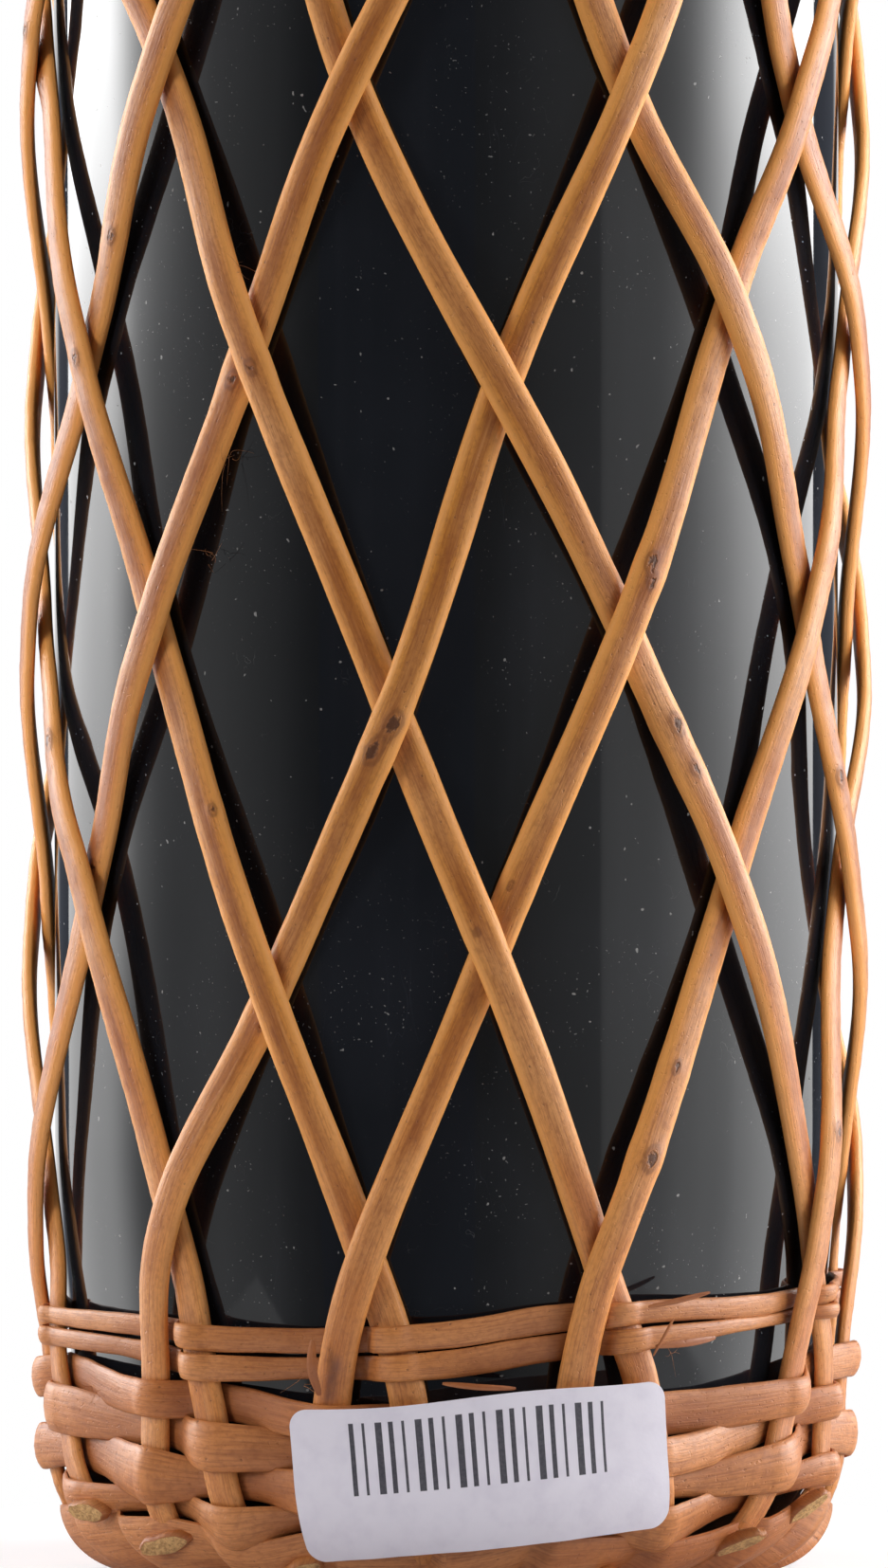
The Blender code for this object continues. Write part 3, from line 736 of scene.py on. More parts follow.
@dataclass(frozen=True)
class PaperFinish(Finish):
    """Coated sticker paper with a cool cast, faint fibres and a plain row of printed bars.

    It reads the map "sheet", metres from the sticker's middle.
    """

    name: str = "printed_paper"
    paper: Tone = tone(234, 228, 239)
    shaded: Tone = tone(216, 209, 224)
    ink: Tone = tone(38, 36, 46)
    bar_left: float = -0.0128
    bar_right: float = 0.0128
    bar_low: float = -0.0010
    bar_high: float = 0.0060
    bar_pitch: float = 0.00128
    blur: float = 0.00006
    edge: float = 0.03

    def shade(self, bench: Bench) -> Signal:
        """Paper, with three widths of bar that take turns.

        Args:
            bench: Where the finish's nodes are made.

        Returns:
            The surface shader.
        """
        sheet = bench.chart("sheet")
        across, upward = bench.split(sheet, "X"), bench.split(sheet, "Y")
        beat, wide = ((across / (run * self.bar_pitch) + 40.0).part() for run in (1.0, 3.0))
        width = 0.24 + 0.3 * wide.between(0.32, 0.34) - 0.14 * wide.between(0.65, 0.67)
        bars = (beat - 0.1).between(0.0, self.edge) * (width - beat + 0.1).between(0.0, self.edge)
        mask = (across - self.bar_left).between(0.0, self.blur)
        for inside in (self.bar_right - across, upward - self.bar_low, self.bar_high - upward):
            mask = mask * inside.between(0.0, self.blur)
        mottle = bench.noise(sheet, 260.0, 3.0, 0.6)
        fibre = bench.noise(sheet, 2600.0, 2.0, 0.6)
        colour = bench.coats(
            self.paper,
            (mottle.between(0.4, 0.75) * 0.5, self.shaded),
            (bars * mask * (0.86 + 0.14 * fibre), self.ink),
        )
        normal = bench.bump(fibre + 2.0 * mottle, 0.25, 0.00004)
        return bench.surface(
            {"Base Color": colour, "Roughness": 0.42 + 0.12 * fibre, "Normal": normal}
        )


@dataclass(frozen=True)
class CorkFinish(Finish):
    """Stopper cork: warm, granular, pitted with dark pores."""

    name: str = "stopper_cork"
    light: Tone = tone(206, 164, 116)
    mid: Tone = tone(184, 138, 92)
    dark: Tone = tone(124, 84, 50)

    def shade(self, bench: Bench) -> Signal:
        """Grains and pits.

        Args:
            bench: Where the finish's nodes are made.

        Returns:
            The surface shader.
        """
        place = bench.coordinates()
        voronoi = {"Vector": place, "Scale": 900.0}
        grains = bench.node("ShaderNodeTexVoronoi", None, voronoi, "Distance")
        cloud = bench.noise(place, 420.0, 3.0, 0.6)
        pits = bench.noise(bench.stretch(place, (1.0, 1.0, 0.45)), 760.0).between(0.36, 0.28)
        colour = bench.coats(
            self.light,
            (cloud.between(0.3, 0.7), self.mid),
            (grains.between(0.45, 0.85) * 0.5, self.dark),
            (pits * 0.85, self.dark),
        )
        normal = bench.bump(cloud - 1.2 * pits, 0.8, 0.0003)
        return bench.surface({"Base Color": colour, "Roughness": 0.88, "Normal": normal})


@dataclass(frozen=True)
class PlasticFinish(Finish):
    """Moulded cap: black, finely textured, rubbed smoother in patches."""

    name: str = "black_moulding"
    black: Tone = tone(34, 32, 32)
    rubbed: Tone = tone(62, 60, 58)

    def shade(self, bench: Bench) -> Signal:
        """Fine moulded texture.

        Args:
            bench: Where the finish's nodes are made.

        Returns:
            The surface shader.
        """
        place = bench.coordinates()
        grain = bench.noise(place, 3800.0, 1.0)
        rub = bench.noise(place, 160.0, 3.0, 0.6).between(0.5, 0.8)
        return bench.surface(
            {
                "Base Color": bench.mix(rub * 0.35, self.black, self.rubbed),
                "Roughness": 0.42 - 0.12 * rub + 0.06 * grain,
                "Normal": bench.bump(grain, 0.35, 0.00005),
            }
        )


STAKE_WILLOW = WillowFinish(
    "stake_willow", tone(232, 166, 104), tone(208, 128, 68), tone(138, 70, 32), tone(218, 143, 56)
)
SPLIT_WILLOW = WillowFinish(
    "split_willow", tone(218, 148, 92), tone(194, 116, 62), tone(132, 68, 34), tone(212, 142, 74),
    # Colour of the painted highlight on the splits.
    flank=tone(224, 146, 82),
)
CUT_END = CutEndFinish()
BLACK_GLASS = GlassFinish()
STICKER_PAPER = PaperFinish()
CORK = CorkFinish()
CAP_PLASTIC = PlasticFinish()


def carry(mesh: bpy.types.Mesh, name: str, values: Array) -> None:
    """Give each vertex of a mesh a number."""
    numbers = mesh.attributes.new(name, "FLOAT", "POINT")
    numbers.data.foreach_set("value", np.asarray(values, np.float32).ravel())


@dataclass
class Skin:
    """Grid of points that closes on itself one way, and what its vertices carry.

    Attributes:
        points: Rows of rings, each ring closed, as rows x columns x 3.
        along: Metres along the piece at each row.
        around: Metres round the piece at each column and once more at the seam.
        numbers: Numbers by name, one for all vertices or as rows x columns.
        looped: Whether the last ring joins the first.
    """

    points: Array
    along: Array
    around: Array
    numbers: dict[str, Any] = field(default_factory=dict)
    looped: bool = False

    def mesh(self, name: str, map_name: str = "grain") -> bpy.types.Mesh:
        """Closed mesh: quads between rings and, unless it loops, a fan on each end ring.

        Args:
            name: Name of the mesh.
            map_name: Name of its map.

        Returns:
            A mesh whose fans have material number 1 and whose faces point outwards.
        """
        rows, columns, _ = self.points.shape
        index = np.arange(rows * columns).reshape(rows, columns)
        along, points = self.along, self.points.reshape(-1, 3)
        if self.looped:
            index = np.concatenate([index, index[:1]])
            along = np.append(along, 2 * along[-1] - along[-2])
        index = np.concatenate([index, index[:, :1]], axis=1)
        quads = corners(index).reshape(-1, 4)
        chart = corners(np.stack(np.meshgrid(along, self.around, indexing="ij"), -1))
        chart = chart.reshape(-1, 4, 2)
        fans = np.zeros((0, 3), int)
        if not self.looped:
            first, last = len(points), len(points) + 1
            points = np.concatenate([points, self.points[[0, -1]].mean(axis=1)])
            low, high = index[0], index[-1]
            fans = np.concatenate(
                [
                    np.stack([low[:-1], np.full(columns, first), low[1:]], -1),
                    np.stack([high[:-1], high[1:], np.full(columns, last)], -1),
                ]
            )
        if self._volume(points, quads) < 0.0:
            quads, fans, chart = quads[:, ::-1], fans[:, ::-1], chart[:, ::-1]
        chart = np.concatenate([chart.reshape(-1, 2), np.zeros((fans.size, 2))])
        mesh = self._faces(name, points, quads, fans)
        mesh.uv_layers.new(name=map_name).data.foreach_set("uv", chart.astype(np.float32).ravel())
        for key, values in self.numbers.items():
            values = np.broadcast_to(values, (rows, columns))
            ends = np.full(len(points) - values.size, values.mean())
            carry(mesh, key, np.concatenate([values.ravel(), ends]))
        mesh.shade_smooth()
        mesh.set_sharp_from_angle(angle=math.radians(SHARP_ANGLE))
        return mesh

    @staticmethod
    def _volume(points: Array, quads: Array) -> float:
        """Sum of p0 . (p1 x p2) over the two halves of every quad, about the points' middle.

        Args:
            points: Corner points.
            quads: Corner numbers of each quad.

        Returns:
            Six times the volume, negative where the faces look inwards.
        """
        centred = points - points.mean(axis=0)
        a, b, c, d = (centred[quads[:, corner]] for corner in range(4))
        return float(np.sum(a * np.cross(b, c)) + np.sum(a * np.cross(c, d)))

    @staticmethod
    def _faces(name: str, points: Array, quads: Array, fans: Array) -> bpy.types.Mesh:
        """New mesh of quads, then of fans with material number 1.

        Args:
            name: Name of the mesh.
            points: Corner points.
            quads: Corner numbers of each quad.
            fans: Corner numbers of each triangle of the ends.

        Returns:
            The mesh.
        """
        mesh = bpy.data.meshes.new(name)
        loops = np.concatenate([quads.ravel(), fans.ravel()])
        sides = np.repeat([4, 3], [len(quads), len(fans)])
        mesh.vertices.add(len(points))
        mesh.vertices.foreach_set("co", points.astype(np.float32).ravel())
        mesh.loops.add(len(loops))
        mesh.loops.foreach_set("vertex_index", loops.astype(np.int32))
        mesh.polygons.add(len(sides))
        starts = np.cumsum(sides) - sides
        mesh.polygons.foreach_set("loop_start", starts.astype(np.int32))
        mesh.polygons.foreach_set("material_index", (sides == 3).astype(np.int32))
        mesh.update(calc_edges=True)
        return mesh


SHARP_ANGLE = 52.0


def one_material(mesh: bpy.types.Mesh) -> bpy.types.Mesh:
    """Give the whole mesh its first material."""
    mesh.polygons.foreach_set("material_index", np.zeros(len(mesh.polygons), np.int32))
    return mesh


def willow_section(count: int, fullness: float, widest: float) -> Array:
    """Section of a split stick: rounded back, flatter inside.

    Points of |x|^n + |y|^n = 1, with the lower half squeezed so that the widest place stands at
    a share of the thickness.

    Args:
        count: Points round the section.
        fullness: The power n, 2 for an oval and more for a squarer back.
        widest: Share of the thickness at which the section is widest.

    Returns:
        Shares of the half width and of the thickness, as count x 2.
    """
    angle = np.arange(count) * (2.0 * math.pi / count)
    power = 2.0 / fullness
    side = np.sign(np.cos(angle)) * np.abs(np.cos(angle)) ** power
    lift = np.sign(np.sin(angle)) * np.abs(np.sin(angle)) ** power
    height = widest + np.where(lift > 0.0, (1.0 - widest) * lift, widest * lift)
    return np.stack([side, height], axis=-1)


def closing_lengths(ring: Array) -> Array:
    """Running length round a closed ring, once more at its seam."""
    return running_length(np.concatenate([ring, ring[:1]]))


def running_length(line: Array) -> Array:
    """Running length along a line of points."""
    steps = np.linalg.norm(np.diff(line, axis=0), axis=1)
    return np.concatenate([[0.0], np.cumsum(steps)])


def unit(vectors: Array) -> Array:
    """Vectors at length one."""
    return vectors / np.linalg.norm(vectors, axis=-1, keepdims=True)


def path_on_side(turn: Array, station: Array, level: Array) -> tuple[Array, Array, Array, Array]:
    """Line on the glass's side.

    Args:
        turn: Turn at each point.
        station: Station at each point.
        level: Level at each point.

    Returns:
        The points, and the unit ways along the line, across it and out from the glass.
    """
    line = SIDE.point(turn, station, level)
    along = unit(np.gradient(line, axis=0))
    across = unit(np.cross(along, SIDE.outward(turn, station)))
    return line, along, across, np.cross(across, along)


def swept(line: Array, *shifts: tuple[Array, Array]) -> Array:
    """Rings round a line: its points plus each way times its distance at every vertex.

    Args:
        line: Points of the middle line.
        shifts: (way at each point, distance by point and corner) pairs.

    Returns:
        Points by ring, corner and axis.
    """
    rings = line[:, None]
    for way, distance in shifts:
        rings = rings + way[:, None] * distance[..., None]
    return rings


def link(name: str, data: Any) -> bpy.types.Object:
    """New object in the scene.

    Args:
        name: Name of the object.
        data: Its mesh, lamp or camera.

    Returns:
        The object, in the scene.
    """
    made = bpy.data.objects.new(name, data)
    bpy.context.scene.collection.objects.link(made)
    return made


@dataclass
class Piece:
    """A finished piece: its mesh as an object that rides and may stand for nodes."""

    mesh: bpy.types.Mesh
    finishes: Sequence[Finish]
    slot: Slot
    stands_for: Sequence[str] = ()
    body: Body = Body.BOTTLE

    def build(self) -> None:
        """Link the object and tie it to the frame."""
        made = link(self.mesh.name, self.mesh)
        for finish in self.finishes:
            self.mesh.materials.append(finish.material())
        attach(made, self.body.value)
        if self.stands_for:
            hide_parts(*self.stands_for)
        log.info("%s: %d faces", made.name, len(self.mesh.polygons))


def build_willow(skin: Skin, slot: Slot, name: str, stands_in: bool = True) -> None:
    """Build a willow piece with its cut ends.

    Args:
        skin: Its surface.
        slot: Stake or split, which chooses its finish.
        name: The node that it stands for, or else its own name.
        stands_in: Whether it stands for that node.
    """
    finish = STAKE_WILLOW if slot is Slot.STAKE else SPLIT_WILLOW
    mesh = skin.mesh(f"{name}_willow" if stands_in else name)
    Piece(mesh, (finish, CUT_END), slot, (name,) if stands_in else ()).build()


@dataclass(frozen=True)
class Lattice:
    """Where the stakes cross: rows up the bottle, columns round it, and the hand's strays."""

    columns: int = 10
    row_start: float = 0.0365
    body_rows: int = 6
    last_row_drop: float = 0.0105
    shoulder_row_shares: tuple[float, ...] = (0.228, 0.575)
    first_turn: float = -9.5
    turn_share: float = 0.05
    rise_share: float = 0.07
    shoulder_share: float = 0.3

    @property
    def column_turn(self) -> float:
        """Turn from one column to the next."""
        return FULL_TURN / self.columns

    @property
    def row_pitch(self) -> float:
        """Distance between rows on the body."""
        run = SIDE.shoulder_height - self.last_row_drop - self.row_start
        return run / (self.body_rows - 1)

    @property
    def rows(self) -> int:
        """Number of rows, those on the shoulder too."""
        return self.body_rows + len(self.shoulder_row_shares)

    def near_column(self, column: int) -> int:
        """Column number counted from the front, -5 to 4."""
        half = self.columns // 2
        return (column + half) % self.columns - half

    def row_station(self, row: int) -> float:
        """Station of a row before its crossings stray.

        Args:
            row: Row of crossings, 0 the lowest.

        Returns:
            Its station.
        """
        if row < self.body_rows:
            return self.row_start + self.row_pitch * row
        share = self.shoulder_row_shares[row - self.body_rows]
        return SIDE.shoulder_height + (SIDE.neck_station - SIDE.shoulder_height) * share

    def stray(self, row: int, column: int) -> tuple[float, float]:
        """How far a crossing strays, in shares of the column turn and of the row pitch.

        Args:
            row: Row of crossings.
            column: Column of crossings.

        Returns:
            Shares of the column turn and of the row pitch.
        """
        near = self.near_column(column)
        size = 1.0 if row < self.body_rows else self.shoulder_share
        plain = (
            size * self.turn_share * math.sin(2.4 * near + 1.9 * row),
            size * self.rise_share * math.cos(1.7 * near + 2.6 * row),
        )
        return FRONT_STRAYS.get((row, near), plain)


# Crossings of the front as the maker laid them, in shares of the column turn and the row pitch
FRONT_STRAYS = {
    (0, -1): (0.091, -0.064), (0, 0): (-0.050, -0.153), (0, 1): (-0.116, -0.156),
    (0, 2): (0.038, -0.023), (1, -2): (0.100, 0.170), (1, -1): (0.071, -0.200),
    (1, 0): (-0.067, -0.073), (1, 1): (-0.025, 0.113), (1, 2): (-0.140, 0.070),
    (2, -1): (0.020, 0.036), (2, 0): (0.060, -0.233), (2, 1): (-0.031, 0.090),
    (2, 2): (-0.035, 0.170), (3, -2): (0.085, 0.060), (3, -1): (-0.020, 0.096),
    (3, 0): (-0.020, -0.080), (3, 1): (-0.031, 0.160), (4, -1): (0.060, 0.033),
    (4, 0): (-0.108, -0.016), (4, 1): (-0.016, -0.020), (4, 2): (-0.120, -0.040),
}

# Feet of the front's stakes, in shares of the column turn: at the base weave's top, at the tip
FRONT_FEET = {
    (RIGHT, -1): (-0.03, -0.05), (RIGHT, 0): (-0.19, -0.24),
    (RIGHT, 1): (-0.22, -0.26), (RIGHT, 2): (-0.08, -0.32),
    (LEFT, -2): (0.14, 0.46), (LEFT, -1): (0.24, 0.39),
    (LEFT, 0): (0.11, 0.17), (LEFT, 1): (0.08, 0.22), (LEFT, 2): (0.26, 0.24),
}

LATTICE = Lattice()


@dataclass(frozen=True)
class Weave:
    """Heights of the woven base and collar."""

    base_rows: int = 4
    base_top: float = 0.0194
    base_pitch: float = 0.0043
    base_height: float = 0.0039
    border_drop: float = 0.0002
    collar_rows: int = 4
    collar_rise: float = 0.0115
    collar_pitch: float = 0.0042
    collar_height: float = 0.0038
    collar_tip: float = 0.0012

    @property
    def base_join(self) -> float:
        """Station just above the base weave."""
        return self.base_top + (self.base_pitch - self.base_height) / 2.0

    @property
    def border_top(self) -> float:
        """Station at which the border starts."""
        return self.base_top - self.base_rows * self.base_pitch - self.border_drop

    @property
    def collar_start(self) -> float:
        """Station of the collar's lower edge."""
        return SIDE.neck_station + self.collar_rise

    @property
    def collar_end(self) -> float:
        """Station at which the stakes end above the collar."""
        return self.collar_start + self.collar_rows * self.collar_pitch + self.collar_tip


WEAVE = Weave()


@dataclass
class Stake:
    """One willow stake: its path round the bottle, its section and its scars."""

    family: Family
    column: int
    short_tip: float = 0.0007
    long_tip: float = 0.0024
    plain_foot: tuple[float, float] = (0.17, 0.24)
    plateau: float = 0.0031
    shoulder_plateau_share: float = 0.75
    samples: int = 520
    section_points: int = 22
    fullness: float = 2.3
    widest: float = 0.28
    cut_length: float = 0.0022
    upper_cut_share: float = 0.4
    cut_blend: float = 2.3
    width_drift: float = 0.05
    width_pitch: float = 0.061
    roll_drift: float = 0.06
    roll_pitch: float = 0.047
    grain_height: float = 0.00003
    grain_pitch: float = 0.0037
    swell_share: float = 0.07
    swell_length: float = 0.0018
    scar_height: float = 0.00034
    scar_reach: tuple[float, float] = (0.0015, 0.5)
    bruise_reach: tuple[float, float] = (0.0008, 0.35)
    bruise_depth: float = 0.75
    # Painted shade tint: the stakes grow more ochre towards the front.
    front_shade_most: float = 0.65
    front_shade_turn: float = 40.0
    front_shade_start: float = 0.022
    # Painted side light fades in above this station.
    painted_light_start: float = 0.016
    colour_run: float = 0.05

    def __post_init__(self) -> None:
        """Work out the stops of its turn and level."""
        right, lean = self.family is RIGHT, self.family.lean
        first = LATTICE.first_turn + LATTICE.column_turn * self.column
        plain = (-lean * self.plain_foot[0], -lean * self.plain_foot[1])
        top_share, tip_share = FRONT_FEET.get(self.key, plain)
        self.seed = 1.7 * self.column + (0.0 if right else 5.3)
        tip = WEAVE.border_top + (self.short_tip if right else -self.long_tip)
        self.tip = FRONT_TIPS.get(self.key, tip)
        crossings = [self._crossing(row, first) for row in range(LATTICE.rows)]
        neck_turn = first + lean * LATTICE.column_turn / 2.0 * (LATTICE.rows - 0.5)
        low, high = (self.tip, WEAVE.base_join), (SIDE.neck_station, WEAVE.collar_end)
        self.turns = [
            (low[0], first + LATTICE.column_turn * tip_share),
            (low[1], first + LATTICE.column_turn * top_share),
            *[(station, turn) for station, turn, _ in crossings],
            *[(station, neck_turn) for station in high],
        ]
        self.levels = [(station, STOCK.stake_level) for station in low]
        for row, (station, _, level) in enumerate(crossings):
            reach = self.plateau
            reach *= 1.0 if row < LATTICE.body_rows else self.shoulder_plateau_share
            self.levels += [(station - reach, level), (station + reach, level)]
        self.levels += [(station, STOCK.stake_level) for station in high]

    @property
    def key(self) -> tuple[Family, int]:
        """Family and column counted from the front."""
        return self.family, LATTICE.near_column(self.column)

    @property
    def node(self) -> str:
        """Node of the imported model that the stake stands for."""
        return f"{self.family.value}_stake_{self.column + 1:02d}"

    def _crossing(self, row: int, first: float) -> tuple[float, float, float]:
        """Station, turn and level of this stake at a row of crossings.

        Args:
            row: Row of crossings.
            first: Turn of the stake at row 0.

        Returns:
            Station, turn and level.
        """
        right = self.family is RIGHT
        column = self.column + row // 2 if right else self.column - (row + 1) // 2
        turn_share, rise_share = LATTICE.stray(row, column)
        half_turn = LATTICE.column_turn / 2.0
        turn = first + self.family.lean * half_turn * row + LATTICE.column_turn * turn_share
        station = LATTICE.row_station(row) + LATTICE.row_pitch * rise_share
        on_top = (row % 2 == 0) == right
        thickness = STOCK.stake_thickness * float(self.scale_at(station))
        return station, turn, STOCK.gap + on_top * (thickness + STOCK.gap)

    def scale_at(self, station: Array) -> Array:
        """Share of full width and thickness kept as the stake thins up the shoulder.

        Args:
            station: Stations.

        Returns:
            Share kept at each station.
        """
        start = LATTICE.row_station(LATTICE.body_rows - 1)
        thinned = rise(station, start, SIDE.neck_station - start)
        return 1.0 - (1.0 - STOCK.stake_top_share) * thinned

    def turn_at(self, station: Array) -> Array:
        """Turn of the stake's middle line."""
        return curve_through(self.turns, station)

    def level_at(self, station: Array) -> Array:
        """Level of the stake's flat side."""
        return steady_through(self.levels, station)

    def scars(self) -> list[Place]:
        """Station, side share and size of each bud scar.

        Returns:
            (station, side share, size) of each scar.
        """
        first = 0.062 + 0.021 * math.sin(3.1 * self.seed)
        side = 0.5 * math.sin(self.seed)
        plain = [(first, side, 0.8), (first + 0.083, -side, 0.7), (first + 0.128, side, 0.6)]
        return FRONT_SCARS.get(self.key, plain)

    def skin(self) -> Skin:
        """Sweep the D section along the path.

        Each ring stands square to the path: middle + across * half width * side share + out *
        thickness * height share, with a bump over each bud scar and slanted ends.

        Returns:
            The stake's closed skin.
        """
        station = np.linspace(self.tip, WEAVE.collar_end, self.samples)
        turn = self.turn_at(station)
        middle, along, across, out = path_on_side(turn, station, self.level_at(station))
        side, height = willow_section(self.section_points, self.fullness, self.widest).T
        scale = self.scale_at(station)
        drift = 1.0 + self.width_drift * wave(station, self.width_pitch, self.seed)
        half = STOCK.stake_width * scale / 2.0 * drift
        roll = self.roll_drift * wave(station, self.roll_pitch, 2.0 * self.seed)
        roll = side[None, :] * roll[:, None]
        lift, mask = np.zeros((2, self.samples, self.section_points))
        for place, share, size in self.scars():
            near = np.exp(-(((station - place) / self.swell_length) ** 2))
            half = half * (1.0 + self.swell_share * size * near)
            away = self._away(station, side, (place, share), self.scar_reach)
            crown = np.exp(-away / size**2) * (height > 0.3)[None, :]
            lift += self.scar_height * size * crown
            mask += crown
        raised = (STOCK.stake_thickness * scale)[:, None] * height[None, :] * (1.0 + roll) + lift
        fine = self.grain_height * wave(station, self.grain_pitch, 3.0 * self.seed)
        raised = raised + fine[:, None] * (height > 0.2)[None, :]
        run = running_length(middle)
        points = swept(
            middle,
            (across, half[:, None] * side[None, :]),
            (out, raised),
            (along, self._cut(run, height)),
        )
        numbers = {
            # hue: the stake's own tone plus a painted shade tint towards the front.
            "hue": self._hue(turn, station)[:, None],
            "knot": np.clip(mask, 0.0, 1.0),
            "worn": self._worn(station, side),
            # Painted light: paler sides and a darker middle, less near the foot.
            "flank": 0.42 + (np.abs(side)[None, :] - 0.42) * self._shown(station)[:, None],
        }
        around_it = closing_lengths(points[self.samples // 3]) + 0.013 * self.seed
        return Skin(points, run + 0.41 * self.seed, around_it, numbers)

    @staticmethod
    def _away(
        station: Array, side: Array, spot: tuple[float, float], reach: tuple[float, float]
    ) -> Array:
        """Squared distance of each vertex from a spot, in shares of the spot's reach."""
        along, across = (station - spot[0]) / reach[0], (side - spot[1]) / reach[1]
        return along[:, None] ** 2 + across[None, :] ** 2

    def _cut(self, run: Array, height: Array) -> Array:
        """Shift along the stake that slants its ends.

        Near each end the back is pulled in by the cut's length * height share * (1 - run /
        blend), which keeps the rings in order.

        Args:
            run: Distance of each ring from the lower end.
            height: Height share of each corner, 0 underneath and 1 on the back.

        Returns:
            Shift by ring and corner.
        """
        blend = self.cut_blend * self.cut_length
        start = np.clip(1.0 - run / blend, 0.0, 1.0)[:, None]
        end = np.clip(1.0 - (run[-1] - run) / blend, 0.0, 1.0)[:, None]
        return self.cut_length * height[None, :] * (start - self.upper_cut_share * end)

    def _shown(self, station: Array) -> Array:
        """How far the painted side light makes the sides differ from the back: less near the foot.
        """
        return 0.3 + 0.7 * rise(station, self.painted_light_start, self.colour_run)

    def _hue(self, turn: Array, station: Array) -> Array:
        """How ochre the stake is: its own tone plus a painted shade tint towards the front, own +
        most * exp(-(turn / reach)^2), the tint fading towards its foot.

        Args:
            turn: Turn of each ring.
            station: Station of each ring.

        Returns:
            Share of ochre at each ring.
        """
        most = self.front_shade_most * np.exp(-((nearest(turn) / self.front_shade_turn) ** 2))
        own = 0.18 + 0.15 * math.sin(5.0 * self.seed)
        return own + most * rise(station, self.front_shade_start, self.colour_run)

    def _worn(self, station: Array, side: Array) -> Array:
        """Bruises near the foot of one stake of the front.

        Args:
            station: Station of each ring.
            side: Side share of each corner.

        Returns:
            Share worn by ring and corner.
        """
        worn = np.zeros((len(station), len(side)))
        for spot in FRONT_BRUISES.get(self.key, ()):
            away = self._away(station, side, spot, self.bruise_reach)
            worn += self.bruise_depth * np.exp(-away)
        return np.clip(worn, 0.0, 1.0)

    def build(self) -> None:
        """Make the stake's piece."""
        build_willow(self.skin(), Slot.STAKE, self.node)


# Bud scars of the front's stakes: station, side share and size
FRONT_SCARS = {
    (LEFT, 0): [(0.1446, -0.1, 1.3), (0.1175, 0.3, 0.7), (0.0745, 0.6, 0.5)],
    (LEFT, 1): [(0.1172, 0.0, 0.7), (0.0640, -0.3, 0.4)],
    (RIGHT, -1): [(0.0838, 0.3, 1.0), (0.0808, -0.1, 1.0), (0.0550, 0.4, 0.5)],
    (RIGHT, 0): [(0.0985, -0.3, 0.8), (0.0968, 0.1, 0.6), (0.0679, -0.4, 0.4)],
    (LEFT, 2): [(0.0829, 0.25, 0.9), (0.0787, 0.1, 0.7)],
    (RIGHT, 1): [(0.0420, 0.1, 1.0), (0.0503, -0.2, 0.6)],
    (RIGHT, -2): [(0.1159, 0.0, 0.8), (0.0692, 0.3, 0.6)],
}

# Bruises of the front's stakes: station and side share
FRONT_BRUISES = {(RIGHT, 0): ((0.0228, 0.1), (0.0212, -0.1), (0.0197, 0.0))}

# Stations at which the front's stakes end, where the hand cut them longer or shorter
FRONT_TIPS = {(LEFT, -2): 0.0044, (LEFT, 2): 0.0050}


Spans = dict[tuple[Family, int], tuple[float, float]]

# The front's stakes, and the low and high edge of each base row at each, top row first
BASE_STAKES = (
    (RIGHT, -2), (RIGHT, 3), (LEFT, -2), (RIGHT, -1), (LEFT, -1), (RIGHT, 0), (LEFT, 0),
    (RIGHT, 1), (LEFT, 1), (RIGHT, 2), (LEFT, 2),
)
BASE_LOWS = (
    (0.0164, 0.0182, 0.0182, 0.0166, 0.0170, 0.0152, 0.0158, 0.0152, 0.0155, 0.0163, 0.0188),
    (0.0142, 0.0146, 0.0137, 0.0141, 0.0118, 0.0127, 0.0116, 0.0127, 0.0113, 0.0143, 0.0151),
    (0.0092, 0.0104, 0.0104, 0.0080, 0.0088, 0.0074, 0.0086, 0.0076, 0.0086, 0.0089, 0.0122),
    (0.0060, 0.0076, 0.0058, 0.0060, 0.0036, 0.0050, 0.0036, 0.0048, 0.0034, 0.0064, 0.0088),
)
BASE_HIGHS = (
    (0.0204, 0.0216, 0.0208, 0.0203, 0.0197, 0.0187, 0.0182, 0.0188, 0.0188, 0.0199, 0.0214),
    (0.0170, 0.0176, 0.0187, 0.0165, 0.0167, 0.0152, 0.0156, 0.0150, 0.0152, 0.0168, 0.0186),
    (0.0139, 0.0150, 0.0138, 0.0138, 0.0116, 0.0124, 0.0112, 0.0122, 0.0112, 0.0140, 0.0150),
    (0.0092, 0.0106, 0.0096, 0.0082, 0.0085, 0.0072, 0.0080, 0.0074, 0.0085, 0.0091, 0.0121),
)


@dataclass(frozen=True)
class Passing:
    """Where a split passes a stake.

    Attributes:
        turn: Turn of the stake there.
        levels: (turn, level) stops of the split over or behind the stake.
        in_front: Whether the split passes in front.
        span: The split's low and high edge there.
    """

    turn: float
    levels: Stops
    in_front: bool
    span: tuple[float, float]

    @property
    def place(self) -> float:
        """Turn counted from 0 to 360."""
        return self.turn % FULL_TURN


